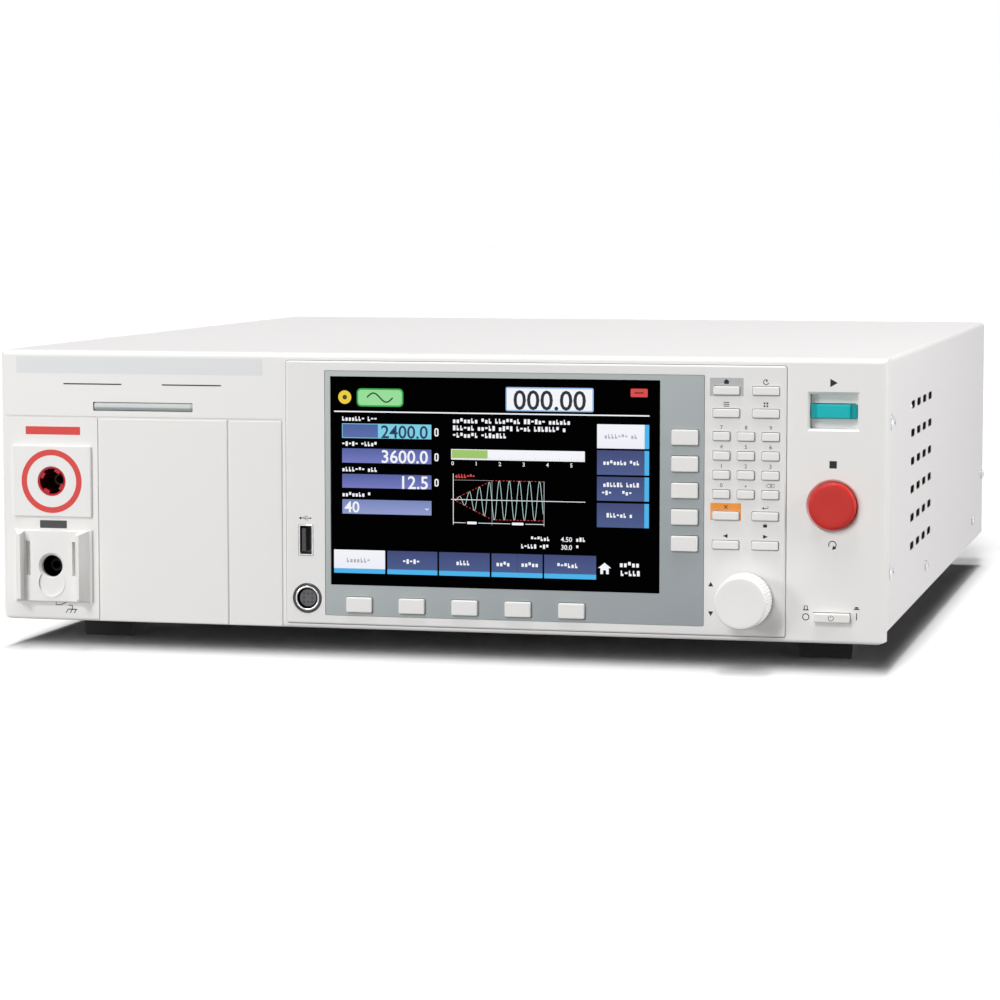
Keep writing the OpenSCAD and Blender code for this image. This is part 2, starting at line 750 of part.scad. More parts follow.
module lamp_lens() color("darkseagreen") in_place() {
    soft_block(lens_x, lens_z, lens_w, lens_h, 0.5, lens_edge_r, 0.2, face_t);
    face_block(lens_x, lens_z, lens_w + 2 * lens_lap, lens_h + 2 * lens_lap, 0.6,
               face_t, face_t + lap_t);
}

fascia_x = (fascia_x0 + fascia_x1) / 2;
fascia_z = (lower_strip + fascia_z1) / 2;
fascia_h = fascia_z1 - lower_strip;
surround_x = surround_x0 + surround_w / 2;
surround_mid_z = surround_z + surround_h / 2;
bushing_d = 7;
usb_w = 7;
usb_h = 14.6;
remote_d = 14;
pillar_d = 3;
pillar_x = (side_x + soft_key_w / 2 + digit_x - digit_key_w / 2) / 2;
pillars = [
    [fascia_x0 + 5, 62], [fascia_x0 + 5, 112], [fascia_x1 - 5.6, 123.5],
    [pillar_x, 75], [pillar_x, 30],
    [soft_x + soft_pitch / 2, soft_z], [soft_x + 3.5 * soft_pitch, soft_z]
];

module key_opening(k) {
    face_block(k[0], k[1], k[2] + 2 * key_gap, k[3] + 2 * key_gap, key_corner_r + key_gap, -big, big);
}

// The fascia carries the screen, all keys, the knob and the two front connectors
module control_fascia() color("white") in_place() {
    difference() {
        union() {
            soft_block(fascia_x, fascia_z, fascia_w, fascia_h, 1.5, fascia_edge_r,
                       -fascia_proud, face_t);
            difference() {
                face_block(fascia_x, fascia_z, fascia_w + 2 * fascia_lap, fascia_h + 2 * fascia_lap,
                           1.5, face_t, face_t + lap_t);
                face_block(fascia_x, fascia_z, fascia_w - 2 * lap_inside, fascia_h - 2 * lap_inside,
                           1, face_t - 1, face_t + lap_t + 1);
            }
            for (p = pillars) round_y(p[0], p[1], pillar_d, face_t - 0.01, key_board_y);
        }
        face_block(surround_x, surround_mid_z, surround_w + 2 * seam, surround_h + 2 * seam, 0.6,
                   -big, glass_y);
        face_block(window_x, window_z, glass_w + 2 * seam, glass_h + 2 * seam, 0.5, -big, big);
        for (k = KEY_PLACES) key_opening(k);
        round_y(knob_x, knob_z, bushing_d + 2 * socket_gap, -big, big);
        face_block(usb_x, usb_z, usb_w + 2 * slip, usb_h + 2 * slip, 0.6, -big, big);
        round_y(remote_x, remote_z, remote_d + 2 * slip, -big, big);
    }
}

module screen_surround() color("lightsteelblue") in_place() {
    difference() {
        face_block(surround_x, surround_mid_z, surround_w, surround_h, 0.5, surround_y, glass_y);
        face_block(window_x, window_z, window_w, window_h, 0.4, -big, big);
        for (i = [0:4]) {
            key_opening(soft_key(i));
            key_opening(side_key(i));
        }
    }
}

module screen_glass() color("black") in_place() {
    face_block(window_x, window_z, glass_w, glass_h, 0.4, glass_y, glass_y + glass_t);
}

panel_y = glass_y + glass_t;
module_back = 8.6;
module_lap = 1.6;

// The display module: metal frame behind the glass, with laps on the fascia's back and its own board
module display_module() color("silver") in_place() {
    face_block(window_x, window_z, glass_w, glass_h, 0.4, panel_y, face_t);
    face_block(window_x, window_z, glass_w, glass_h + 2 * module_lap, 0.4, face_t, face_t + lap_t);
    face_block(window_x, window_z, glass_w - 6, glass_h - 6, 1, face_t + lap_t, module_back);
}

/* Keys, knob and buttons */

lip_y = face_t + stop_gap;
tact_y = key_board_y - tact_h;

// One key: a bevelled cap, a lip that holds it behind the fascia, and a plunger into its switch
module key(k) color("whitesmoke") in_place() {
    bevelled_block(k[0], k[1], k[2], k[3], key_corner_r, key_bevel, k[5] - k[4], lip_y);
    face_block(k[0], k[1], k[2] + 2 * key_lip, k[3] + 2 * key_lip, key_corner_r,
               lip_y, lip_y + key_lip_t);
    round_y(k[0], k[1], plunger_d, lip_y + key_lip_t, tact_y + plunger_in);
}

encoder_w = 13;
encoder_y = 4.6;
shaft_end = encoder_y + 3;
board_x0 = fascia_x0 + 2;
board_x1 = fascia_x1 - 1;
board_z0 = tray_top + 0.8;
board_z1 = fascia_z1 - 1.5;

// The key board: one circuit board with a push switch behind every key, and the knob's encoder
module key_board() color("seagreen") in_place() {
    difference() {
        union() {
            block([board_x0, key_board_y, board_z0], [board_x1, key_board_y + key_board_t, board_z1]);
            for (k = KEY_PLACES)
                face_block(k[0], k[1], tact_w, tact_w, 0.5, tact_y, key_board_y + 0.01);
            face_block(knob_x, knob_z, encoder_w, encoder_w, 0.5, encoder_y, key_board_y + 0.01);
            round_y(knob_x, knob_z, bushing_d, -fascia_proud, encoder_y + 0.01);
        }
        for (k = KEY_PLACES)
            round_y(k[0], k[1], plunger_d + 2 * run_gap, tact_y - 1, tact_y + plunger_in + key_travel + 0.3);
        round_y(knob_x, knob_z, shaft_d + 2 * run_gap, -big, shaft_end + 0.4);
    }
}

knob_gap = 0.8;
knob_back = -fascia_proud - knob_gap;
knob_cap_l = 1.2;
knob_cap_d = knob_d - 0.6;
knob_face_d = knob_d - 1.4;
rib_d = 1;

// The knob's outline from the front: a circle with a groove between each two ribs
module knob_outline() {
    difference() {
        circle(d = knob_d);
        for (i = [0:knob_ribs - 1])
            rotate(i * 360 / knob_ribs) translate([knob_d / 2 + 0.1, 0]) circle(d = rib_d);
    }
}

// The knob: a ribbed grip with a tapered front, on the encoder's shaft
module rotary_knob() color("whitesmoke") in_place() translate([knob_x, 0, knob_z]) {
    along_y(knob_cap_l - knob_proud, knob_back) knob_outline();
    translate([0, -knob_proud, 0]) rotate([-90, 0, 0])
        cylinder(d1 = knob_face_d, d2 = knob_cap_d, h = knob_cap_l + 0.01);
    round_y(0, 0, shaft_d, knob_back - 0.01, shaft_end);
}

start_ledge = 1.5;
start_face_y = 1.6;
start_boss_w = 15.4;
start_boss_y = 0.4;
start_boss_bevel = 0.6;
start_stem_y = start_depth + start_floor_t;
switch_board_y = 20;
button_stem_d = 6;
stem_in = 1;
switch_body_y = 13;
switch_body_w = 13;

// The start button: a flat bar in its recess with a raised middle
module start_button() color("lightseagreen") in_place() {
    bevelled_block(switch_x, start_z, start_w - 2 * key_gap, start_bar_h, 0.3, 0.3,
                   start_face_y, start_depth - button_travel - stop_gap);
    bevelled_block(switch_x, start_z, start_boss_w, start_bar_h, 0.3, start_boss_bevel,
                   start_boss_y, start_face_y + 0.5);
    face_block(switch_x, start_z, start_w - 2 * start_ledge, start_bar_h, 0.3,
               start_depth - button_travel - stop_gap - 0.01, start_stem_y + stop_gap);
    face_block(switch_x, start_z, start_w, start_bar_h + 2 * start_ledge, 0.5,
               start_stem_y + stop_gap, start_stem_y + stop_gap + key_lip_t);
    round_y(switch_x, start_z, button_stem_d, start_stem_y + key_lip_t, switch_body_y + stem_in);
}

stop_edge_r = 1.8;

// The stop button: a round cap with a rounded edge, a lip and a stem
module stop_button() color("firebrick") in_place() translate([switch_x, 0, stop_z]) {
    rotate([90, 0, 0]) rotate_extrude() intersection() {
        translate([0, -lip_y]) arch(-stop_d / 2, stop_d / 2, stop_proud + lip_y, stop_edge_r, stop_edge_r);
        translate([0, -big]) square([big, 2 * big]);
    }
    round_y(0, 0, stop_hole_d + 2 * key_lip, lip_y, lip_y + key_lip_t);
    round_y(0, 0, button_stem_d, lip_y + key_lip_t, switch_body_y + stem_in);
}

power_stem_w = 6;
power_stem_h = 3;
power_body_y = face_t + lap_t + power_travel + 2.4;
power_body_h = 12;
power_body_z = tray_top + 0.6 + power_body_h / 2;

// The power button: a flat cap on the stem of the mains switch
module power_button() color("whitesmoke") in_place() {
    bevelled_block(switch_x, power_z, power_w, power_h, 0.4, 0.4, -power_proud, lip_y);
    face_block(switch_x, power_z, power_w + 2 * key_lip, power_h + 2 * key_lip, 0.4,
               lip_y, lip_y + key_lip_t);
    face_block(switch_x, power_z, power_stem_w, power_stem_h, 0.3,
               lip_y + key_lip_t, power_body_y + stem_in);
}

switch_board_z0 = stop_z - 14;
switch_board_z1 = start_z + 12;
switch_pillar_d = 5;
switch_pillar_dx = 15;

// Behind the right-hand block: the start and stop switches on their board, and the mains switch
module panel_switches() color("seagreen") in_place() {
    difference() {
        union() {
            block([switch_x - 18, switch_board_y, switch_board_z0],
                  [switch_x + 18, switch_board_y + key_board_t, switch_board_z1]);
            for (z = [start_z, stop_z])
                face_block(switch_x, z, switch_body_w, switch_body_w, 0.5,
                           switch_body_y, switch_board_y + 0.01);
            for (side = [-1, 1], z = [switch_board_z0 + 5, (start_z + stop_z) / 2 + 2])
                round_y(switch_x + side * switch_pillar_dx, z, switch_pillar_d, face_t,
                        switch_board_y + 0.01);
        }
        for (z = [start_z, stop_z])
            round_y(switch_x, z, button_stem_d + 2 * run_gap, switch_body_y - 1,
                    switch_body_y + stem_in + button_travel + 0.5);
    }
    difference() {
        union() {
            face_block(switch_x, power_body_z, power_body_w, power_body_h, 0.5,
                       power_body_y, power_body_y + 24);
            for (side = [-1, 1])
                block([switch_x + side * (power_w / 2 + 3.4) - 1.6, face_t, power_z - 3],
                      [switch_x + side * (power_w / 2 + 3.4) + 1.6, power_body_y + 0.01, power_z + 6]);
        }
        face_block(switch_x, power_z, power_stem_w + 2 * run_gap, power_stem_h + 2 * run_gap, 0.3,
                   power_body_y - 1, power_body_y + stem_in + power_travel + 0.5);
    }
}

/* Output terminals and front connectors */

hv_plate_t = 1.6;
socket_flange_t = 3;
socket_l = 30;
lobe_angle = 30;
lobe_tip_r = 4.7;
lobe_w = 3;
contact_d = 6;
hv_contact_y = 10;
low_contact_y = 4;
contact_l = 16;

module hv_plate() color("white") in_place() {
    difference() {
        soft_block(terminal_x, hv_z, plate_w, hv_plate_h, 1, 0.5, -hv_plate_t, 0);
        round_y(terminal_x, hv_z, hv_barrel_d + 2 * socket_gap, -big, big);
    }
}

// A socket's spring contact: a tube with a solid tail, held in the insulator's floor
module contact(y0) {
    difference() {
        round_y(0, 0, contact_d, y0, y0 + contact_l + 6);
        round_y(0, 0, contact_bore, y0 - 1, y0 + contact_l);
    }
}

// High-voltage socket: insulator with four keying ribs in its bore, and the contact
module hv_socket() color("firebrick") in_place() translate([terminal_x, 0, hv_z]) {
    difference() {
        union() {
            round_y(0, 0, hv_barrel_d, 0.3 - hv_plate_t, socket_l);
            round_y(0, 0, hv_barrel_d + 8, face_t, face_t + socket_flange_t);
        }
        difference() {
            round_y(0, 0, hv_bore, -big, hv_contact_y + contact_l);
            for (i = [0:3])
                rotate([0, lobe_angle + 90 * i, 0])
                    block([lobe_tip_r, 0.6 - hv_plate_t, -lobe_w / 2], [hv_bore, big, lobe_w / 2]);
        }
        round_y(0, 0, contact_d, -big, hv_contact_y + contact_l + 6);
    }
    contact(hv_contact_y);
}

// Return terminal's guard: a base, a keyhole seat in its floor and a sloping rib on each side
module low_guard() color("white") in_place() translate([terminal_x, 0, low_z]) {
    w = plate_w / 2;
    slope = 3;
    rib = 1.6;
    rib_in = w - 1.2 - slope - rib;
    difference() {
        intersection() {
            translate([0, 0, -guard_h / 2]) linear_extrude(guard_h)
                polygon([[-w, 0], [w, 0], [w, -1.2], [w - 1.2, -1.6], [w - 1.2 - slope, -guard_proud],
                         [rib_in, -guard_proud], [rib_in - 0.4, -guard_floor],
                         [0.4 - rib_in, -guard_floor], [-rib_in, -guard_proud],
                         [1.2 + slope - w, -guard_proud], [1.2 - w, -1.6], [-w, -1.2]]);
            along_x(-w, w) translate([0, -guard_h / 2])
                polygon([[0, 0], [-1.2, 0], [-guard_proud, 1.8], [-guard_proud, guard_h - 1.8],
                         [-1.2, guard_h], [0, guard_h]]);
        }
        round_y(0, 0, low_bore, -big, big);
        translate([0, -guard_floor, 0]) rotate([-90, 0, 0])
            cylinder(d1 = low_bore + 2.4, d2 = low_bore, h = 1.2);
        round_y(0, -8.1, 13, -guard_proud, 0.6 - guard_floor);
        for (side = [-1, 1])
            block([side * (rib_in - 2.2) - 1.3, -big, -4.5], [side * (rib_in - 2.2) + 1.3, -1, 12]);
    }
}

// Return socket: black insulator behind the guard, and the contact
module low_socket() color("black") in_place() translate([terminal_x, 0, low_z]) {
    difference() {
        union() {
            round_y(0, 0, low_barrel_d, 0, socket_l);
            round_y(0, 0, low_barrel_d + 5, face_t, face_t + socket_flange_t);
        }
        round_y(0, 0, low_bore, -big, low_contact_y + contact_l);
        round_y(0, 0, contact_d, -big, low_contact_y + contact_l + 6);
    }
    contact(low_contact_y);
}

// The USB port with its tongue, and the round remote socket with its pin insert
module front_connectors() color("silver") in_place() {
    translate([usb_x, 0, usb_z]) {
        difference() {
            face_block(0, 0, usb_w, usb_h, 0.4, -fascia_proud - 0.2, key_board_y);
            face_block(0, 0, usb_w - 0.7, usb_h - 0.7, 0.3, -big, key_board_y - 1);
        }
        block([0.1, 0.4, -5.4], [1.7, key_board_y - 0.99, 5.4]);
    }
    translate([remote_x, 0, remote_z]) {
        difference() {
            union() {
                round_y(0, 0, remote_d, -fascia_proud - 0.3, rim_d);
                round_y(0, 0, remote_d + 2, face_t, face_t + 2);
            }
            round_y(0, 0, remote_d - 3, -big, rim_d - 1.5);
        }
        difference() {
            face_block(-0.8, 0, 6.4, 7, 0.8, 1.2, rim_d - 1.49);
            for (column = [-1, 0, 1], row = [-1, 0, 1])
                round_y(-0.8 + 2 * column, 2.1 * row, 0.9, 0, 4);
        }
    }
}

/* Rear connectors, fan and the inside */

fan_hole_pitch = fan_w - 8.5;
fan_screw_d = 3.8;
fan_y1 = rear_y0;
fan_y0 = fan_y1 - fan_t;
hub_d = fan_w * 0.42;
rotor_gap = 1.2;
rotor_d = fan_w - 5;
bearing_d = 4;

module fan_frame() color("dimgray") in_place() translate([fan_x, 0, fan_z]) {
    difference() {
        face_block(0, 0, fan_w, fan_w, 4, fan_y0, fan_y1);
        round_y(0, 0, rotor_d + 2 * rotor_gap, fan_y0 - 1, fan_y1 + 1);
        for (sx = [-1, 1], sz = [-1, 1])
            round_y(sx * fan_hole_pitch / 2, sz * fan_hole_pitch / 2, fan_screw_d + 2 * screw_gap,
                    fan_y0 - 1, fan_y1 + 1);
    }
    difference() {
        union() {
            round_y(0, 0, hub_d, fan_y0, fan_y0 + 4);
            for (turn = [0:90:270])
                rotate([0, turn + 45, 0])
                    block([hub_d / 2 - 1, fan_y0, -2], [rotor_d / 2 + rotor_gap + 1, fan_y0 + 3, 2]);
            round_y(0, 0, 9, fan_y0 + 3.9, fan_y0 + 12);
        }
        round_y(0, 0, bearing_d + 2 * run_gap, fan_y0 + 2, fan_y1);
    }
}

blade_y0 = 6;
blade_y1 = 3;
blade_tilt = 38;

// The rotor: a cup over the bearing, its shaft, and tilted blades cut to the rotor's circle
module fan_rotor() color("dimgray") in_place() translate([fan_x, 0, fan_z]) {
    difference() {
        round_y(0, 0, hub_d, fan_y0 + blade_y0 - 1, fan_y1 - blade_y1);
        round_y(0, 0, hub_d - 3, fan_y0, fan_y1 - blade_y1 - 2);
    }
    round_y(0, 0, bearing_d, fan_y0 + 3, fan_y1 - blade_y1 - 1);
    intersection() {
        difference() {
            round_y(0, 0, rotor_d, fan_y0 + blade_y0, fan_y1 - blade_y1);
            round_y(0, 0, hub_d - 1, fan_y0, fan_y1);
        }
        for (i = [0:fan_blades - 1])
            rotate([0, i * 360 / fan_blades, 0])
                translate([0, (fan_y0 + fan_y1) / 2 + 1, 0]) rotate([blade_tilt, 0, 0])
                    translate([hub_d / 2 - 1, -fan_t, -0.7]) cube([rotor_d, 2 * fan_t, 1.4]);
    }
}

inlet_cavity_w = 24;
inlet_cavity_h = 16.5;
inlet_cavity_d = 16;
blade_l = 11;

// Mains inlet: a flanged body with a recess, three blades in it and a fuse drawer above
module mains_inlet() color("black") in_place() translate([inlet_x, rear_y1, inlet_z]) {
    difference() {
        union() {
            face_block(0, 0, inlet_flange_w, inlet_flange_h, 3, 0, 3);
            face_block(0, 0, inlet_body_w, inlet_body_h, 0.6, -22, 0.01);
        }
        face_block(0, -5, inlet_cavity_w, inlet_cavity_h, 3, 3 - inlet_cavity_d, 4);
        face_block(0, 9.5, 22, 5, 0.5, 2, 4);
        for (sx = [-1, 1]) round_y(sx * 20, 0, 3.4, -1, 4);
    }
    for (p = [[-7, -3], [7, -3], [0, -7]])
        block([p[0] - 1, 3 - inlet_cavity_d, p[1] - 2], [p[0] + 1, 3 - inlet_cavity_d + blade_l, p[1] + 2]);
}

signal_w = 39;
serial_w = 17;
port_body_h = 9;
port_shell = 6;
network_w = 16;
network_h = 14;
host_w = 12;
host_h = 11;
post_d = 5;

// A D-shaped shell seen from behind: wider along its upper side
module d_outline(w, h) {
    polygon([[-w / 2, h / 2], [w / 2, h / 2], [w / 2 - h * 0.18, -h / 2], [h * 0.18 - w / 2, -h / 2]]);
}

// A D-type port: flange, shell with a contact block in it and two jack posts
module d_port(w) {
    difference() {
        union() {
            face_block(0, 0, w + 14, port_body_h + 3.5, 1, 0, 1);
            face_block(0, 0, w, port_body_h, 1, -9, 0.01);
            along_y(0.99, port_shell) d_outline(w, port_body_h);
        }
        along_y(2, port_shell + 1) d_outline(w - 1.4, port_body_h - 1.2);
    }
    along_y(1.99, port_shell - 1) d_outline(w - 4, port_body_h - 4.2);
    for (side = [-1, 1])
        difference() {
            translate([side * (w / 2 + 4.2), 1, 0]) rotate([-90, 0, 0]) cylinder(d = 5, h = 5, $fn = 6);
            round_y(side * (w / 2 + 4.2), 0, 2.5, 2, 7);
        }
}

// A square port: a flanged shell with an open cavity and a tongue
module box_port(w, h, cavity_w, cavity_h, depth) {
    difference() {
        union() {
            face_block(0, 0, w, h, 0.6, -14, 1);
            face_block(0, 0, w + 2, h + 2, 0.6, 0, 0.6);
        }
        face_block(0, 0, cavity_w, cavity_h, 0.4, 1 - depth, 2);
    }
}

// Earth terminal: a post with a fixed nut, a washer and a knurled thumb nut
module earth_post() {
    round_y(0, 0, post_d, -rear_t - 8, rear_inset + post_proud);
    translate([0, 0, 0]) rotate([-90, 0, 0]) cylinder(d = 11, h = 3, $fn = 6);
    round_y(0, 0, 12, rear_inset + post_proud - 11, rear_inset + post_proud - 2);
    translate([0, -rear_t - 3.5, 0]) rotate([-90, 0, 0]) cylinder(d = 10, h = 3.5, $fn = 6);
}

module rear_connectors() color("silver") in_place() {
    translate([signal_x, rear_y1, port_z]) d_port(signal_w);
    translate([serial_x, rear_y1, port_z]) d_port(serial_w);
    translate([network_x, rear_y1, port_z]) box_port(network_w, network_h, 12, 9, 11);
    translate([host_x, rear_y1, port_z]) box_port(host_w, host_h, 8.6, 7.8, 9);
    translate([post_x, rear_y1, port_z]) earth_post();
}

transformer_x = left_x + 70;
transformer_y = 190;
core_w = 72;
core_h = 76;
core_limb = 14;
coil_over = 12;

// High-voltage transformer: a laminated core on two brackets, with the winding around its middle
module hv_transformer() color("goldenrod") in_place()
    translate([transformer_x, transformer_y, tray_top]) {
    block([-core_w / 2, -core_l / 2, 0], [core_w / 2, core_l / 2, core_h]);
    block([-core_w / 2 - coil_over, -0.36 * core_l, core_limb],
          [core_w / 2 + coil_over, 0.36 * core_l, core_h - core_limb]);
    for (side = [-1, 1])
        block([-core_w / 2 - 10, side == 1 ? core_l / 2 : -core_l / 2 - 2, 0],
              [core_w / 2 + 10, side == 1 ? core_l / 2 + 2 : -core_l / 2, core_h * 0.6]);
}

main_board_x = -20;
main_board_y = 300;
standoff_h = 8;
main_board_t = 1.6;
main_z = tray_top + standoff_h + main_board_t;

// Main board on standoffs, with relays, capacitors and two chips
module main_board() color("seagreen") in_place() translate([main_board_x, main_board_y, 0]) {
    block([-board_w / 2, -board_l / 2, tray_top + standoff_h], [board_w / 2, board_l / 2, main_z]);
    for (sx = [-1, 1], sy = [-1, 1])
        translate([sx * (board_w / 2 - 6), sy * (board_l / 2 - 6), tray_top])
            cylinder(d = 6, h = standoff_h);
    for (i = [0:4])
        block([-board_w / 2 + 8 + i * 22, -board_l / 2 + 16, main_z],
              [-board_w / 2 + 24 + i * 22, -board_l / 2 + 44, main_z + 16]);
    for (i = [0:2])
        translate([-board_w / 2 + 24 + i * 34, board_l / 2 - 30, main_z]) cylinder(d = 26, h = 42);
    for (p = [[-30, 10], [30, -2]])
        block([p[0] - 12, p[1] - 12, main_z], [p[0] + 12, p[1] + 12, main_z + 2.4]);
}

sink_x = right_x - 62;
sink_y = vent_y + 1.5 * vent_pitch;
sink_w = 80;
sink_base = 8;
sink_h = 70;
fin_t = 2.4;

// Power amplifier: a finned heat sink by the vents, with its transistors along the inner side
module power_amplifier() color("gray") in_place() translate([sink_x, sink_y, tray_top]) {
    block([-sink_w / 2, -sink_l / 2, 0], [sink_w / 2, sink_l / 2, sink_base]);
    for (i = [0:sink_fins - 1]) {
        x = -sink_w / 2 + i * (sink_w - fin_t) / (sink_fins - 1);
        block([x, -sink_l / 2, sink_base - 0.01], [x + fin_t, sink_l / 2, sink_h]);
    }
    for (i = [0:3])
        block([-sink_w / 2 - 5, -sink_l / 2 + 14 + i * 28, 14],
              [-sink_w / 2, -sink_l / 2 + 30 + i * 28, 36]);
}

base_tray();
top_cover();
rear_panel();
front_panel();
blank_covers();
control_fascia();
screen_surround();
screen_glass();
display_module();
key_board();
panel_switches();
hv_plate();
hv_socket();
low_guard();
low_socket();
lamp_lens();
front_connectors();
feet();
screws();
fan_frame();
fan_rotor();
mains_inlet();
rear_connectors();
hv_transformer();
main_board();
power_amplifier();
start_button();
stop_button();
power_button();
rotary_knob();
for (i = [0:4]) key(soft_key(i));
for (i = [0:4]) key(side_key(i));
for (i = [0:3]) key(menu_key(i));
for (i = [0:9]) key(digit_key(i));
for (i = [0:5]) key(WORD_KEY_PLACES[i]);
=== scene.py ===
"""Looks of a bench electrical safety tester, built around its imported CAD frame.

Lengths in the numbers below are millimetres in the cabinet's own frame: x from the middle of the
front, y inwards from the front face, z up from the front panel's lower edge. place() turns them
into the row frame's metres.
"""

import json
import math

import bpy
import numpy as np
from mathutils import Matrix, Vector

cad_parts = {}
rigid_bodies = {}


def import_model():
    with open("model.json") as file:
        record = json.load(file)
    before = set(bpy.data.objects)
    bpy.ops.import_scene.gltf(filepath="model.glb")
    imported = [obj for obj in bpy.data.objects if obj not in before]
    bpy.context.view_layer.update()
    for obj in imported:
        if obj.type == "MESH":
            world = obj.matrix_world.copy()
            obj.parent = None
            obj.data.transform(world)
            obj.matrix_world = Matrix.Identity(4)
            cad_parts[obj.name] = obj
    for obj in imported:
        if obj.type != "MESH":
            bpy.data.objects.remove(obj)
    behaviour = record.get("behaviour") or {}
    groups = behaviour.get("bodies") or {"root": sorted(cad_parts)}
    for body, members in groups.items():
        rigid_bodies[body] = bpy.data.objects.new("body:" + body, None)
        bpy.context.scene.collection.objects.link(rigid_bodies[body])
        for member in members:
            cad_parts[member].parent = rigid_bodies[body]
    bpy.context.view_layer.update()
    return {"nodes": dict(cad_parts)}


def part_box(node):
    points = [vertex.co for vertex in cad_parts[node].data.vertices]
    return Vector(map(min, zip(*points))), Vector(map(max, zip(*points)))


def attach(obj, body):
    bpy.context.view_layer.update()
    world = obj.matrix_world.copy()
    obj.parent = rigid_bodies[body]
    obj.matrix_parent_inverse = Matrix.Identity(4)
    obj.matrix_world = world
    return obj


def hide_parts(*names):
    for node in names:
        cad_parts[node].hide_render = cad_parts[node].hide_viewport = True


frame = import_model()

bl_info = {
    "name": "Bench electrical safety tester",
    "version": (1, 0, 0),
    "blender": (4, 5, 0),
    "location": "View3D > Sidebar > Tester",
    "description": "Finishes, keys, knob, screen picture and legends of a bench safety tester",
    "category": "Object",
}

MM = 0.001
FRONT_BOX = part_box("front_panel")
FRONT_Y = FRONT_BOX[0].y
BASE_Z = FRONT_BOX[0].z
ORIGIN = np.array([0.0, FRONT_Y, BASE_Z])
PANEL_FACE = 0.0
FASCIA_FACE = (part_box("control_fascia")[0].y - FRONT_Y) / MM
GLASS_FACE = (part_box("screen_glass")[0].y - FRONT_Y) / MM

# Blank covers: their top, the narrow one's width, the wide one's left inset, half the seam
BLANK_TOP = 98.5
BLANK_NARROW = 26.9
BLANK_INSET = 1.75
BLANK_GAP = 0.3
# Ports: middle in x and z, then width and height, or diameter
USB = (-61.0, 42.1, 7.0, 14.6)
REMOTE = (-60.4, 14.3, 14.0)
# Seat ring in the guard: the floor that it lies on, its middle's distance under the guard's, radius
GUARD_FLOOR = -3.3
SEAT_DROP = 8.1
SEAT_RADIUS = 6.75
# Caps: how much wider the lip is, its front and back, and the stem behind it
LIP_SPREAD = 1.6
LIP_FRONT = 3.05
LIP_BACK = 4.05
STEM_RADIUS = 3.0
# Prints: half their thickness, the stroke that the marks' widths are written for, the digits'
# height over their keys, and how far a printed block reaches in under its key
INK = 0.03
PLAIN_STROKE = 0.3
DIGIT_RISE = 4.2
WINDOW_LAP = 0.4
# Height of a digit in Blender's own font, of size 1
FONT_DIGIT = 0.73
SHARP_ANGLE = math.radians(32)

# Bump strength and distance in metres, by the kind of surface
FINE_BUMP = (0.2, 0.00003)
KEY_BUMP = (0.15, 0.00003)
BUTTON_BUMP = (0.08, 0.00003)
BLACK_BUMP = (0.2, 0.00004)
PRINT_BUMP = (0.1, 0.00001)

SOFT_KEYS = [f"soft_key_{side}_{i}" for side in ("bottom", "side") for i in range(1, 6)]
SMALL_KEYS = (
    [f"menu_key_{i}" for i in range(1, 5)]
    + [f"digit_key_{i}" for i in range(10)]
    + ["point_key", "clear_key", "escape_key", "enter_key", "left_key", "right_key"]
)


# ---- places and meshes


def place(points):
    """Cabinet millimetres to row-frame metres: divide by a thousand, then add the origin."""
    return np.asarray(points, float) * MM + ORIGIN


def local_box(node):
    """Lowest and highest corner of a CAD node in cabinet millimetres."""
    low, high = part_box(node)
    return (np.array(low) - ORIGIN) / MM, (np.array(high) - ORIGIN) / MM


def middle(node):
    """x and z of the middle of a CAD node, in cabinet millimetres."""
    low, high = local_box(node)
    return (low[0] + high[0]) / 2, (low[2] + high[2]) / 2


def cap_size(node):
    """Width and height of a key's cap: the node's, less the lip that holds it in the fascia."""
    low, high = local_box(node)
    return high[0] - low[0] - LIP_SPREAD, high[2] - low[2] - LIP_SPREAD


def skin(loops, ends=(None, None)):
    """Surface through closed loops, an array of m loops by n points by 3.

    Each loop's point j joins its point j+1 and the next loop's point j by one quad. An end given
    as a point closes that loop with a fan of triangles to the point.
    """
    m, n, _ = loops.shape
    verts = loops.reshape(-1, 3)
    i = np.arange(m - 1)[:, None] * n
    j = np.arange(n)[None, :]
    nxt = (j + 1) % n
    quads = np.stack(np.broadcast_arrays(i + j, i + nxt, i + n + nxt, i + n + j), -1)
    faces = quads.reshape(-1, 4).tolist()
    first, last = ends
    j = np.arange(n)
    nxt = (j + 1) % n
    if first is not None:
        faces += np.stack([nxt, j, np.full(n, len(verts))], -1).tolist()
        verts = np.vstack([verts, [first]])
    if last is not None:
        base = (m - 1) * n
        faces += np.stack([base + j, base + nxt, np.full(n, len(verts))], -1).tolist()
        verts = np.vstack([verts, [last]])
    return verts, faces


def rounded_loop(w, h, r, steps=5):
    """Closed outline of a w by h rectangle with corner radius r.

    Four quarter circles of radius r about the corners' centres, steps + 1 points each, counted
    anticlockwise as seen from the front.
    """
    quarter = np.linspace(0.0, math.pi / 2, steps + 1)
    angle = (quarter[None, :] + np.arange(4)[:, None] * math.pi / 2).ravel()
    sx = np.repeat([1, -1, -1, 1], steps + 1)
    sz = np.repeat([1, 1, -1, -1], steps + 1)
    x = sx * (w / 2 - r) + r * np.cos(angle)
    z = sz * (h / 2 - r) + r * np.sin(angle)
    return np.stack([x, z], -1)


def lofted(x, z, stations):
    """Closed solid about (x, z): a rounded rectangle (w, h, r) at each y, from the back forwards."""
    loops = []
    for w, h, r, y in stations:
        outline = rounded_loop(w, h, r)
        loops.append(np.stack([outline[:, 0] + x, np.full(len(outline), y), outline[:, 1] + z], -1))
    ends = ((x, stations[0][3], z), (x, stations[-1][3], z))
    return skin(np.array(loops), ends)


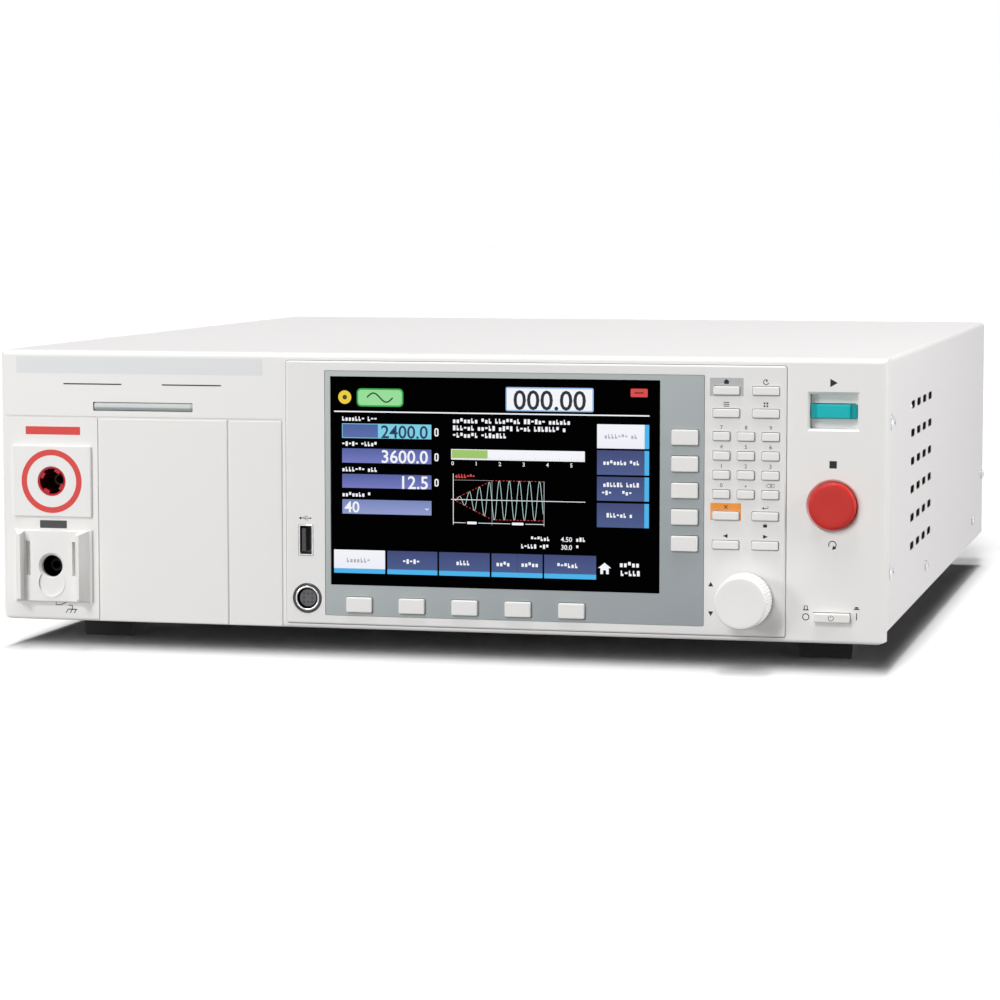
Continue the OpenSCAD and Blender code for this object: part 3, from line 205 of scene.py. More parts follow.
def around(x, z, radius, y, steps):
    """Circles about the axis along y through (x, z): x + r cos a, y, z + r sin a.

    radius is one value for each y, or a row of one for each step of the angle a.
    """
    angle = np.linspace(0.0, 2 * math.pi, steps, endpoint=False)
    r = np.broadcast_to(radius, (len(y), steps))
    return np.stack([x + r * np.cos(angle), np.broadcast_to(y[:, None], r.shape), z + r * np.sin(angle)], -1)


def turned(x, z, profile, steps=64, ribs=0, depth=0.0, ribbed=(0.0, 0.0)):
    """Closed solid of revolution about the line through (x, z) along y.

    profile lists (radius, y) from the back forwards, and the ends close on the axis. Between the
    two y values of ribbed, the radius falls by depth times a raised cosine of ribs waves a turn.
    """
    radius, y = np.array(profile, float).T
    angle = np.linspace(0.0, 2 * math.pi, steps, endpoint=False)
    wave = 0.5 - 0.5 * np.cos(ribs * angle)
    inside = ((y >= ribbed[0]) & (y <= ribbed[1])).astype(float) if ribs else np.zeros(len(y))
    r = radius[:, None] - depth * inside[:, None] * (wave ** 0.7)[None, :]
    return skin(around(x, z, r, y, steps), ((x, y[0], z), (x, y[-1], z)))


def ring(x, z, section, steps=72):
    """Closed ring: the (radius, y) points of section, anticlockwise, carried round the axis."""
    radius, y = np.array(section, float).T
    loops = around(x, z, radius[:, None], y, steps)
    return skin(np.vstack([loops, loops[:1]]))


def fillet(w, h, r, y_edge, y_face, radius, steps=5, land=0.4):
    """Stations that round a block's front edge: inset and depth follow a quarter circle.

    A last station, inset by land more at the same depth, keeps the face inside it flat.
    """
    t = np.linspace(0.0, math.pi / 2, steps + 1)
    inset = np.append(radius * (1 - np.cos(t)), radius + land)
    y = np.append(y_edge + (y_face - y_edge) * np.sin(t), y_face)
    return [(w - 2 * i, h - 2 * i, max(r - i, 0.05), d) for i, d in zip(inset, y)]


def slab(outline, y_face, y_back):
    """Closed plate with the given flat outline (anticlockwise from the front) between two y's."""
    outline = np.asarray(outline, float)
    n = len(outline)
    front = np.stack([outline[:, 0], np.full(n, y_face), outline[:, 1]], -1)
    back = np.stack([outline[:, 0], np.full(n, y_back), outline[:, 1]], -1)
    j = np.arange(n)
    nxt = (j + 1) % n
    sides = np.stack([n + j, n + nxt, nxt, j], -1).tolist()
    return np.vstack([front, back]), [j.tolist(), (n + j[::-1]).tolist()] + sides


def ribbon(path, width, y_face, y_back, closed=False):
    """Flat stroke: a box section of the given width carried along a path in x and z.

    Each point's sideways direction is the mean of its two neighbours' normals.
    """
    path = np.asarray(path, float)
    if closed:
        ahead, behind = np.roll(path, -1, 0), np.roll(path, 1, 0)
    else:
        ahead = np.vstack([path[1:], 2 * path[-1] - path[-2]])
        behind = np.vstack([2 * path[0] - path[1], path[:-1]])
    along = ahead - behind
    along /= np.linalg.norm(along, axis=1)[:, None]
    side = np.stack([-along[:, 1], along[:, 0]], -1) * width / 2
    left, right = path + side, path - side
    low = np.full(len(path), y_back)
    high = np.full(len(path), y_face)
    corners = ((left, low), (left, high), (right, high), (right, low))
    loops = np.stack([np.stack([edge[:, 0], y, edge[:, 1]], -1) for edge, y in corners], 1)
    if closed:
        return skin(np.vstack([loops, loops[:1]]))
    verts, faces = skin(loops)
    last = len(verts) - 4
    return verts, faces + [[3, 2, 1, 0], [last, last + 1, last + 2, last + 3]]


def join(parts):
    """Several (vertices, faces) as one, with each part's faces renumbered."""
    verts, faces, count = [], [], 0
    for part_verts, part_faces in parts:
        verts.append(np.asarray(part_verts, float))
        faces += [[k + count for k in face] for face in part_faces]
        count += len(part_verts)
    return np.vstack(verts), faces


def glyphs(text, x, z, height, y_face, y_back, anchor=0.5, bold=0.0):
    """A line of digits from Blender's own font as thin solids, with its middle at height z.

    The flat digits are scaled to the height, put at x by the anchor (0 left, 1 right) and turned
    from their own plane into the front's: own x to x, own y to z. bold widens every stroke
    outwards by that share of the font's size.
    """
    curve = bpy.data.curves.new("digits", "FONT")
    curve.body = text
    curve.resolution_u = 3
    curve.extrude = 0.5
    curve.offset = bold
    maker = bpy.data.objects.new("digits", curve)
    bpy.context.scene.collection.objects.link(maker)
    graph = bpy.context.evaluated_depsgraph_get()
    mesh = bpy.data.meshes.new_from_object(maker.evaluated_get(graph))
    co = np.zeros(len(mesh.vertices) * 3)
    mesh.vertices.foreach_get("co", co)
    co = co.reshape(-1, 3)
    faces = [list(p.vertices) for p in mesh.polygons]
    bpy.data.objects.remove(maker)
    bpy.data.curves.remove(curve)
    bpy.data.meshes.remove(mesh)
    scale = height / FONT_DIGIT
    low, high = co[:, 0].min(), co[:, 0].max()
    out = np.empty_like(co)
    out[:, 0] = x + (co[:, 0] - low - anchor * (high - low)) * scale
    out[:, 1] = np.where(co[:, 2] > 0, y_face, y_back)
    out[:, 2] = z + (co[:, 1] - FONT_DIGIT / 2) * scale
    return out, faces


def build(name, part, material, body, replaces=(), smooth=True, colours=None):
    """Puts a surface into a mesh object at the origin, parents it to its body and hides the CAD nodes that
    it replaces.
    """
    verts, faces = part
    mesh = bpy.data.meshes.new(name)
    mesh.from_pydata(place(verts).tolist(), [], faces)
    mesh.update()
    if smooth:
        mesh.polygons.foreach_set("use_smooth", [True] * len(mesh.polygons))
        mesh.set_sharp_from_angle(angle=SHARP_ANGLE)
    if colours is not None:
        layer = mesh.attributes.new("tint", "FLOAT_COLOR", "POINT")
        layer.data.foreach_set("color", np.asarray(colours, np.float32).ravel())
    mesh.materials.append(material)
    piece = bpy.data.objects.new(name, mesh)
    bpy.context.scene.collection.objects.link(piece)
    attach(piece, body)
    if replaces:
        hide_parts(*replaces)


# ---- materials


def linear(rgb):
    """sRGB bytes to linear colour."""
    c = np.asarray(rgb, float) / 255
    return tuple(np.where(c <= 0.04045, c / 12.92, ((c + 0.055) / 1.055) ** 2.4))


def add(tree, kind, **settings):
    """New node of a kind, with its settings."""
    made = tree.nodes.new(kind)
    for key, value in settings.items():
        setattr(made, key, value)
    return made


def preset(node, values):
    """Constants straight on a node's input sockets, by the sockets' names; returns the node."""
    for key, value in values.items():
        node.inputs[key].default_value = value
    return node


def new_group(name, inputs, outputs):
    """Empty shader node group with named sockets of a kind; inputs give their defaults too."""
    group = bpy.data.node_groups.new(name, "ShaderNodeTree")
    for label, kind, default in inputs:
        made = group.interface.new_socket(name=label, in_out="INPUT", socket_type=f"NodeSocket{kind}")
        if default is not None:
            made.default_value = default
    for label, kind in outputs:
        group.interface.new_socket(name=label, in_out="OUTPUT", socket_type=f"NodeSocket{kind}")
    return group, group.nodes.new("NodeGroupInput"), group.nodes.new("NodeGroupOutput")


def maths(tree, operation, a, b=None, c=None):
    """One Math node; each operand is a socket or a number."""
    made = add(tree, "ShaderNodeMath", operation=operation)
    for slot_index, value in enumerate((a, b, c)):
        if value is None:
            continue
        if isinstance(value, (int, float)):
            made.inputs[slot_index].default_value = value
        else:
            tree.links.new(value, made.inputs[slot_index])
    return made.outputs[0]


def scale_colour(group, given, factor, out):
    """Sends the given colour times factor out of a group."""
    shade = add(group, "ShaderNodeVectorMath", operation="SCALE")
    group.links.new(given.outputs["Colour"], shade.inputs[0])
    group.links.new(factor, shade.inputs["Scale"])
    group.links.new(shade.outputs[0], out.inputs["Colour"])


def vary(group, given, out, swing, height):
    """Ends a surface group: swing, about zero, varies tone and gloss, and height goes out."""
    tone = maths(group, "MULTIPLY_ADD", swing, given.outputs["Tone"], 1.0)
    scale_colour(group, given, tone, out)
    gloss = maths(group, "MULTIPLY_ADD", swing, given.outputs["Gloss change"], given.outputs["Roughness"])
    group.links.new(gloss, out.inputs["Roughness"])
    group.links.new(height, out.inputs["Height"])


GRAIN_SHARE = 0.35
SURFACE_OUT = [("Colour", "Color"), ("Roughness", "Float"), ("Height", "Float")]


def grain_group():
    """Moulded or painted surface: slow patches vary tone and gloss, and a fine grain gives height."""
    group, given, out = new_group(
        "fine_grain",
        [
            ("Vector", "Vector", None),
            ("Colour", "Color", (0.8, 0.8, 0.8, 1)),
            ("Tone", "Float", 0.02),
            ("Roughness", "Float", 0.5),
            ("Gloss change", "Float", 0.05),
            ("Patch scale", "Float", 9.0),
            ("Grain scale", "Float", 1800.0),
        ],
        SURFACE_OUT,
    )
    patch = preset(add(group, "ShaderNodeTexNoise"), {"Detail": 3.0})
    grain = preset(add(group, "ShaderNodeTexNoise"), {"Detail": 2.0})
    for noise, scale in ((patch, "Patch scale"), (grain, "Grain scale")):
        group.links.new(given.outputs["Vector"], noise.inputs["Vector"])
        group.links.new(given.outputs[scale], noise.inputs["Scale"])
    fine = maths(group, "MULTIPLY", grain.outputs["Fac"], GRAIN_SHARE)
    both = maths(group, "ADD", patch.outputs["Fac"], fine)
    swing = maths(group, "SUBTRACT", both, 0.5 + 0.5 * GRAIN_SHARE)
    vary(group, given, out, swing, grain.outputs["Fac"])
    return group


def drawn_group():
    """Rolled or brushed metal: noise stretched along one axis for tone, gloss and height."""
    group, given, out = new_group(
        "drawn_metal",
        [
            ("Vector", "Vector", None),
            ("Stretch", "Vector", (60.0, 900.0, 900.0)),
            ("Colour", "Color", (0.6, 0.6, 0.6, 1)),
            ("Tone", "Float", 0.2),
            ("Roughness", "Float", 0.35),
            ("Gloss change", "Float", 0.2),
        ],
        SURFACE_OUT,
    )
    scaled = add(group, "ShaderNodeVectorMath", operation="MULTIPLY")
    group.links.new(given.outputs["Vector"], scaled.inputs[0])
    group.links.new(given.outputs["Stretch"], scaled.inputs[1])
    streaks = preset(add(group, "ShaderNodeTexNoise"), {"Scale": 1.0, "Detail": 4.0})
    group.links.new(scaled.outputs[0], streaks.inputs["Vector"])
    vary(group, given, out, maths(group, "SUBTRACT", streaks.outputs["Fac"], 0.5), streaks.outputs["Fac"])
    return group


def pixel_group():
    """Screen cells: thin darker lines between the columns and rows of the picture's dots."""
    group, given, out = new_group(
        "screen_cells",
        [
            ("Vector", "Vector", None),
            ("Colour", "Color", (1, 1, 1, 1)),
            ("Pitch", "Float", 0.0002),
            ("Depth", "Float", 0.2),
        ],
        [("Colour", "Color")],
    )
    split = add(group, "ShaderNodeSeparateXYZ")
    group.links.new(given.outputs["Vector"], split.inputs[0])
    waves = []
    for axis in ("X", "Z"):
        turns = maths(group, "DIVIDE", split.outputs[axis], given.outputs["Pitch"])
        wave = maths(group, "SINE", maths(group, "MULTIPLY", turns, 2 * math.pi))
        waves.append(maths(group, "MULTIPLY", wave, wave))
    cell = maths(group, "MULTIPLY", waves[0], waves[1])
    fade = maths(group, "MULTIPLY", cell, given.outputs["Depth"])
    scale_colour(group, given, maths(group, "SUBTRACT", 1.0, fade), out)
    return group


GROUP_MAKERS = {"fine_grain": grain_group, "drawn_metal": drawn_group, "screen_cells": pixel_group}
GROUPS = {}


def group_named(name):
    """The shared node group, built the first time that it is asked for."""
    if name not in GROUPS:
        GROUPS[name] = GROUP_MAKERS[name]()
    return GROUPS[name]


def shell(name):
    """New material with a Principled shader, its tree, and the Object coordinates' socket."""
    material = bpy.data.materials.new(name)
    material.use_nodes = True
    tree = material.node_tree
    shader = next(n for n in tree.nodes if n.type == "BSDF_PRINCIPLED")
    where = add(tree, "ShaderNodeTexCoord")
    return material, tree, shader, where.outputs["Object"]


def finish(name, group, values, bump, constants, tint=None):
    """A material whose colour, roughness and height come from a group, with plain constants.

    tint, where it is given, adds nodes between the group's colour and the shader.
    """
    material, tree, shader, where = shell(name)
    effect = add(tree, "ShaderNodeGroup")
    effect.node_tree = group_named(group)
    tree.links.new(where, effect.inputs["Vector"])
    preset(effect, values)
    shown = effect.outputs["Colour"]
    if tint is not None:
        shown = tint(tree, where, shown)
    tree.links.new(shown, shader.inputs["Base Color"])
    tree.links.new(effect.outputs["Roughness"], shader.inputs["Roughness"])
    relief = preset(add(tree, "ShaderNodeBump"), {"Strength": bump[0], "Distance": bump[1]})
    tree.links.new(effect.outputs["Height"], relief.inputs["Height"])
    tree.links.new(relief.outputs[0], shader.inputs["Normal"])
    preset(shader, constants)
    return material


def moulded(name, colour, roughness, grain, bump, tone, tint=None, specular=0.5):
    """Plastic, paint, rubber or print with a fine grain."""
    values = {"Colour": (*colour, 1), "Tone": tone, "Roughness": roughness, "Grain scale": grain}
    return finish(name, "fine_grain", values, bump, {"Specular IOR Level": specular}, tint)


def white_plastic(name, colour):
    """The front's white plastic, in one of its shades."""
    return moulded(name, colour, 0.42, 2200.0, FINE_BUMP, 0.02)


def printed(name, colour, tone, roughness=0.5, specular=0.5):
    """Thin printed colour."""
    return moulded(name, colour, roughness, 2500.0, PRINT_BUMP, tone, None, specular)


def metal(name, rgb, roughness, stretch):
    """Rolled or brushed metal, its streaks drawn by stretch; rgb in sRGB bytes."""
    values = {"Colour": (*linear(rgb), 1), "Roughness": roughness, "Stretch": stretch}
    return finish(name, "drawn_metal", values, (0.15, 0.00002), {"Metallic": 1.0})


def blend(tree, mask, shown, colour_end):
    """The shown colour, turned into colour_end where the mask is 1."""
    mix = add(tree, "ShaderNodeMix", data_type="RGBA")
    tree.links.new(mask, mix.inputs["Factor"])
    tree.links.new(shown, mix.inputs["A"])
    mix.inputs["B"].default_value = (*colour_end, 1)
    return mix.outputs["Result"]


def ramp_tint(axis_weights, start, end, colour_end):
    """Tint step: the colour turns into colour_end as a weighted sum of x, y, z goes from start to end."""

    def step(tree, where, shown):
        dot_product = add(tree, "ShaderNodeVectorMath", operation="DOT_PRODUCT")
        tree.links.new(where, dot_product.inputs[0])
        dot_product.inputs[1].default_value = axis_weights
        span = add(tree, "ShaderNodeMapRange", interpolation_type="SMOOTHSTEP")
        preset(span, {"From Min": start, "From Max": end})
        tree.links.new(dot_product.outputs["Value"], span.inputs["Value"])
        return blend(tree, span.outputs["Result"], shown, colour_end)

    return step


def inside_tint(half_width, top, sheet, shade_colour):
    """Tint step for the folded cover: painted shade that turns its inner faces and the walls of its vents
    near black.

    The mask is 1 where |x| and z are further in than the sheet, or where |x| is a little further
    in than the outer face and z is below the fold.
    """

    def step(tree, where, shown):
        split = add(tree, "ShaderNodeSeparateXYZ")
        tree.links.new(where, split.inputs[0])
        across = maths(tree, "ABSOLUTE", split.outputs["X"])
        within = maths(tree, "LESS_THAN", across, half_width - sheet)
        below = maths(tree, "LESS_THAN", split.outputs["Z"], top - sheet)
        wall = maths(tree, "LESS_THAN", across, half_width - 0.25 * sheet)
        under_fold = maths(tree, "LESS_THAN", split.outputs["Z"], top - 4 * sheet)
        inner = maths(tree, "MULTIPLY", within, below)
        slots = maths(tree, "MULTIPLY", wall, under_fold)
        return blend(tree, maths(tree, "MAXIMUM", inner, slots), shown, shade_colour)

    return step


def screen_material(name, strength):
    """Lit picture: the tint attribute, broken into cells, is the light's colour over a dark base."""
    material, tree, shader, where = shell(name)
    tint = add(tree, "ShaderNodeAttribute", attribute_name="tint")
    cells = add(tree, "ShaderNodeGroup")
    cells.node_tree = group_named("screen_cells")
    tree.links.new(where, cells.inputs["Vector"])
    tree.links.new(tint.outputs["Color"], cells.inputs["Colour"])
    tree.links.new(cells.outputs["Colour"], shader.inputs["Emission Color"])
    preset(shader, {"Base Color": (0.004, 0.004, 0.005, 1), "Emission Strength": strength,
                    "Roughness": 0.3, "Specular IOR Level": 0.15})
    return material


def dress(material, *nodes):
    """Gives a material to CAD nodes, in every one of their slots."""
    for name in nodes:
        node = frame["nodes"][name]
        if not node.material_slots:
            node.data.materials.append(material)
        for slot in node.material_slots:
            slot.material = material


# ---- what a user can change


def length(label, text, default):
    """Length property; default in millimetres."""
    return bpy.props.FloatProperty(
        name=label, description=text, default=default * MM, min=0.0, unit="LENGTH", precision=5
    )


def colour(label, text, rgb):
    """Colour property; rgb in sRGB bytes."""
    return bpy.props.FloatVectorProperty(
        name=label, description=text, default=linear(rgb), size=3, min=0.0, max=1.0, subtype="COLOR"
    )


class TesterSizes(bpy.types.PropertyGroup):
    """Sizes of the pieces that this script makes."""

    key_edge: length("Key edge", "Rounding of the keys' front edges", 0.5)
    stop_edge: length("Stop edge", "Rounding of the stop button's front edge", 1.8)
    rib_depth: length("Rib depth", "Depth of the grooves around the knob", 0.6)
    stroke: length("Stroke", "Width of a printed line", 0.3)
    digit_height: length("Digit height", "Height of the digits printed over the keys", 1.9)
    ring_outer: length("Ring width", "Outer diameter of the red ring", 30.8)
    ring_inner: length("Ring hole", "Inner diameter of the red ring", 25.2)
    knob_ribs: bpy.props.IntProperty(
        name="Knob ribs", description="Number of ribs around the knob", default=48, min=12, max=90
    )
    screen_glow: bpy.props.FloatProperty(
        name="Screen glow", description="Strength of the lit picture", default=1.0, min=0.0, max=4.0
    )


class TesterColours(bpy.types.PropertyGroup):
    """Colours of the finishes."""

    front: colour("Front", "Moulded front panel and terminal plates", (232, 231, 229))
    blanks: colour("Blank covers", "The two blank covers", (230, 228, 226))
    fascia: colour("Fascia", "Control fascia", (227, 226, 225))
    cover: colour("Cover", "Textured paint of the folded cover", (229, 226, 226))
    keys: colour("Keys", "Keys, knob and power button", (229, 228, 226))
    # The screen surround is one grey plastic; its run from a lighter upper left to a darker lower right is
    # painted shade.
    surround: colour("Surround", "Grey screen surround, at its upper left", (178, 185, 184))
    surround_low: colour("Surround, low", "Grey screen surround, at its lower right", (146, 153, 156))
    # The start bar and its raised middle are one teal plastic: the bar's darker teal is painted shade, and
    # the middle's lighter teal is painted light.
    start: colour("Start", "Start button's bar", (3, 156, 160))
    start_middle: colour("Start, middle", "Raised middle of the start button", (12, 182, 186))
    stop: colour("Stop", "Stop button", (198, 48, 42))
    ring: colour("Ring", "Red ring around the high-voltage socket", (222, 82, 78))
    socket: colour("Socket", "Insulator of the high-voltage socket", (190, 34, 48))
    knob: colour("Knob", "Rotary knob", (236, 235, 234))
    ink: colour("Ink", "Printed marks", (42, 42, 46))
    orange: colour("Orange", "Block behind the escape key", (240, 146, 40))
    pale_block: colour("Grey block", "Block behind the first menu key", (176, 177, 179))


# ---- finishes of the CAD nodes


class TESTER_OT_cabinet(bpy.types.Operator):
    """Paint, metal and rubber for the cabinet, its screws and its feet"""

    bl_idname = "tester.cabinet"
    bl_label = "Cabinet"

    def execute(self, context):
        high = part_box("top_cover")[1]
        # Painted shade: the cover's inner faces and vent walls are tinted near black so that the vents look
        # dark.
        vent_shade = inside_tint(high.x, high.z, 0.0012, linear((9, 9, 10)))
        tone = context.scene.tester_colours.cover
        dress(moulded("cover_paint", tone, 0.5, 1400.0, (0.35, 0.00008), 0.02, vent_shade), "top_cover")
        rear = linear((212, 211, 208))
        dress(moulded("rear_paint", rear, 0.5, 1400.0, (0.3, 0.00006), 0.03), "rear_panel")
        rubber = linear((26, 25, 25))
        dress(moulded("foot_rubber", rubber, 0.75, 900.0, (0.5, 0.0001), 0.3), "feet")
        dress(metal("zinc_sheet", (196, 197, 200), 0.38, (15.0, 15.0, 400.0)), "base_tray")
        dress(metal("screw_steel", (205, 205, 208), 0.3, (400.0, 400.0, 400.0)), "screws")
        return {"FINISHED"}


class TESTER_OT_front(bpy.types.Operator):
    """Plastics and glass for the front's fixed pieces"""

    bl_idname = "tester.front"
    bl_label = "Front"

    def execute(self, context):
        tones = context.scene.tester_colours
        dress(white_plastic("front_plastic", tones.front), "front_panel", "hv_plate", "low_guard")
        dress(white_plastic("fascia_plastic", tones.fascia), "control_fascia")
        # Painted shade: the surround darkens from its upper left to its lower right.
        low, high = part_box("screen_surround")
        shade = ramp_tint((0.6, 0.0, -1.0), low.x * 0.6 - high.z, high.x * 0.6 - low.z, tones.surround_low)
        dress(moulded("surround_plastic", tones.surround, 0.4, 2200.0, FINE_BUMP, 0.03, shade),
              "screen_surround")
        dress(moulded("screen_black", linear((2, 2, 3)), 0.25, 3000.0, (0.0, 0.00001), 0.1, None, 0.0),
              "screen_glass")
        inwards = (0.0, 1.0, 0.0)
        # Painted shade: the socket's insulator turns dark red further into its hole.
        depth = ramp_tint(inwards, FRONT_Y - 0.0016, FRONT_Y + 0.0010, linear((84, 8, 14)))
        dress(moulded("socket_plastic", tones.socket, 0.3, 1500.0, (0.1, 0.00003), 0.1, depth, 0.2),
              "hv_socket")
        black = linear((14, 14, 15))
        dress(moulded("black_plastic", black, 0.45, 1500.0, BLACK_BUMP, 0.2, None, 0.25),
              "mains_inlet", "fan_frame", "fan_rotor")
        # Painted shade: the return socket turns black further into its hole.
        socket_hole_shade = ramp_tint(inwards, FRONT_Y - 0.0030, FRONT_Y + 0.0010, (0.0, 0.0, 0.0))
        dress(moulded("return_plastic", black, 0.5, 1500.0, BLACK_BUMP, 0.2, socket_hole_shade, 0.1), "low_socket")
        dress(metal("shell_metal", (214, 214, 216), 0.24, (500.0, 60.0, 500.0)), "rear_connectors")
        return {"FINISHED"}


class TESTER_OT_inside(bpy.types.Operator):
    """Finishes for the boards, the transformer and the heat sink"""

    bl_idname = "tester.inside"
    bl_label = "Inside"

    def execute(self, context):
        board = moulded("circuit_board", linear((24, 96, 58)), 0.4, 700.0, (0.2, 0.00005), 0.5)
        dress(board, "key_board", "panel_switches", "main_board")
        dress(metal("module_frame", (190, 190, 192), 0.35, (40.0, 600.0, 600.0)), "display_module")
        lacquer = moulded("core_lacquer", linear((120, 84, 46)), 0.5, 500.0, (0.4, 0.0002), 0.4)
        dress(lacquer, "hv_transformer")
        dress(metal("sink_alloy", (176, 178, 182), 0.42, (700.0, 30.0, 700.0)), "power_amplifier")
        return {"FINISHED"}


# ---- blank covers, lens and ports


class TESTER_OT_blanks(bpy.types.Operator):
    """The two blank covers with softened edges, and the lamp's long lens"""

    bl_idname = "tester.blanks"
    bl_label = "Blank covers and lens"

    def execute(self, context):
        low, high = local_box("blank_covers")
        split = high[0] - BLANK_NARROW - 0.05
        z, h = (BLANK_TOP + 0.1) / 2, BLANK_TOP - 0.1
        parts = []
        for x0, x1 in ((low[0] + BLANK_INSET, split - BLANK_GAP), (split + BLANK_GAP, high[0])):
            x, w = (x0 + x1) / 2, x1 - x0
            front = [(w, h, 0.3, 1.4), (w, h, 0.3, 0.62), *fillet(w, h, 0.62, 0.6, 0.0, 0.6)]
            step = [(w + 0.5, h + 0.9, 0.2, 3.0), (w + 0.5, h + 0.9, 0.2, 0.6)]
            lap = [(w + 0.4, h - 6.0, 0.2, high[1]), (w + 0.4, h - 6.0, 0.2, 3.0)]
            parts += [lofted(x, z, front), lofted(x, z + 0.5, step), lofted(x, z + 4.2, lap)]
        cover = white_plastic("blank_plastic", context.scene.tester_colours.blanks)
        build("blank_plates", join(parts), cover, "cabinet", ("blank_covers",))

        low, high = local_box("lamp_lens")
        w, h = cap_size("lamp_lens")
        lip = (w + LIP_SPREAD, h + LIP_SPREAD, 0.6)
        edge = fillet(w, h, 0.9, 1.25, 0.25, 1.3, 7, 0.1)
        stations = [(*lip, high[1]), (*lip, 3.0), (w, h, 0.5, 3.0), *edge]
        # Painted highlight: the lens turns paler over its upper part, where a rounded lens catches the
        # light.
        start, end = ((low[2] + share * h) * MM + BASE_Z for share in (0.52, 0.72))
        lens_highlight = ramp_tint((0.0, 0.0, 1.0), start, end, linear((214, 216, 216)))
        tone = linear((158, 165, 164))
        lens = moulded("lamp_plastic", tone, 0.3, 1200.0, (0.05, 0.00003), 0.06, lens_highlight, 0.2)
        cap = lofted(*middle("lamp_lens"), stations)
        build("lamp_cap", cap, lens, "cabinet", ("lamp_lens",))
        return {"FINISHED"}


class TESTER_OT_ports(bpy.types.Operator):
    """USB port with its tongue, and the round remote socket"""

    bl_idname = "tester.ports"
    bl_label = "Front ports"

    def execute(self, context):
        back = local_box("front_connectors")[1][1]
        face = FASCIA_FACE
        x, z, w, h = USB
        tube = [(w, h, 0.5, back), (w, h, 0.5, face - 0.1), (w - 0.2, h - 0.2, 0.45, face - 0.2),
                (w - 1.1, h - 1.1, 0.4, face - 0.2), (w - 1.3, h - 1.3, 0.4, face),
                (w - 1.3, h - 1.3, 0.4, 8.0)]
        tongue = [(2.2, h - 3.4, 0.2, 8.0), (2.2, h - 3.4, 0.2, 0.2), (1.8, h - 3.8, 0.2, 0.0)]
        insulator = [(w - 1.4, h - 1.4, 0.3, 7.9), (w - 1.4, h - 1.4, 0.3, 5.0)]
        rx, rz, r = REMOTE[0], REMOTE[1], REMOTE[2] / 2
        rim = [(r - 1.9, face + 0.5), (r - 1.25, face + 0.5), (r - 1.2, face - 0.12),
               (r - 1.4, face - 0.22), (r - 1.7, face - 0.22), (r - 1.9, face - 0.1)]
        body = [(r, 8.0), (r, face - 0.1), (r - 0.2, face - 0.3), (r - 1.0, face - 0.3),
                (r - 1.25, face - 0.1), (r - 1.25, face + 0.3), (r - 1.9, face + 0.3),
                (r - 2.1, face), (r - 2.3, 4.0)]
        bright = metal("port_metal", (196, 196, 197), 0.22, (500.0, 60.0, 500.0))
        black = moulded("port_black", linear((20, 20, 22)), 0.35, 1500.0, KEY_BUMP, 0.2)
        grey = moulded("port_grey", linear((78, 78, 80)), 0.45, 1500.0, KEY_BUMP, 0.1)
        build("port_shells", join([lofted(x, z, tube), ring(rx, rz, rim)]), bright, "cabinet",
              ("front_connectors",))
        bodies = [lofted(x - w / 2 + 2.2, z, tongue), lofted(x, z, insulator), turned(rx, rz, body)]
        build("port_bodies", join(bodies), black, "cabinet")
        insert = turned(rx, rz, [(4.3, 4.05), (4.3, 0.6), (4.0, 0.3)], 40)
        build("remote_insert", insert, grey, "cabinet")
        pins = [dot(rx + column * 2.0, rz + row * 2.0, 0.62, 0.3, 12)
                for column in (-1, 0, 1) for row in (-1, 0, 1) if column or row]
        build("remote_contacts", join(pins), black, "cabinet", smooth=False)
        return {"FINISHED"}


# ---- keys, knob and buttons


def key_stations(node, edge, plunger=(3.0, 3.0, 1.499), lip_r=0.5, cap_r=0.6):
    """A key from its plunger's end forwards: plunger (w, h, r), lip, cap and rounded front edge."""
    low, high = local_box(node)
    w, h = cap_size(node)
    return [
        (*plunger, high[1]),
        (*plunger, LIP_BACK),
        (w + LIP_SPREAD, h + LIP_SPREAD, lip_r, LIP_BACK),
        (w + LIP_SPREAD, h + LIP_SPREAD, lip_r, LIP_FRONT),
        (w, h, cap_r, LIP_FRONT),
        *fillet(w, h, cap_r, low[1] + edge, low[1], edge),
    ]


def turned_edge(r, front, radius, steps):
    """Profile points of a rounded front edge: a quarter circle from radius r in to the face."""
    return [(r - radius + radius * math.cos(a), front + radius * (1 - math.sin(a)))
            for a in np.linspace(0.0, math.pi / 2, steps)]


class TESTER_OT_start(bpy.types.Operator):
    """Start button: a bar with a raised middle, on its stem"""

    bl_idname = "tester.start"
    bl_label = "Start button"

    def execute(self, context):
        tones = context.scene.tester_colours
        low, high = local_box("start_button")
        x, z = middle("start_button")
        w, h = high[0] - low[0] - 0.6, 6.6
        bar_part = [(w, h, 0.3, 2.9), (w, h, 0.3, 2.0), *fillet(w, h, 0.3, 1.95, 1.6, 0.35)]
        inner = [(w - 2.4, h, 0.3, 6.6), (w - 2.4, h, 0.3, 2.8)]
        lip = [(w + 0.6, h + 3.0, 0.5, 7.55), (w + 0.6, h + 3.0, 0.5, 6.55)]
        stem = turned(x, z, [(STEM_RADIUS, high[1]), (STEM_RADIUS, 7.5)], 32)
        gloss = (0.3, 1800.0, BUTTON_BUMP, 0.05, None, 0.12)
        # Painted shade and light: the bar is given a darker teal than its raised middle.
        plastic = moulded("start_plastic", tones.start, *gloss)
        parts = [lofted(x, z, part) for part in (bar_part, inner, lip)]
        build("start_bar", join([*parts, stem]), plastic, "start_button", ("start_button",))
        boss = [(15.9, h - 0.1, 0.3, 1.9), (15.9, h - 0.1, 0.3, 1.4),
                *fillet(15.4, h - 0.2, 0.6, 1.0, 0.4, 0.5)]
        plastic = moulded("start_middle_plastic", tones.start_middle, *gloss)
        build("start_boss", lofted(x, z, boss), plastic, "start_button")
        return {"FINISHED"}


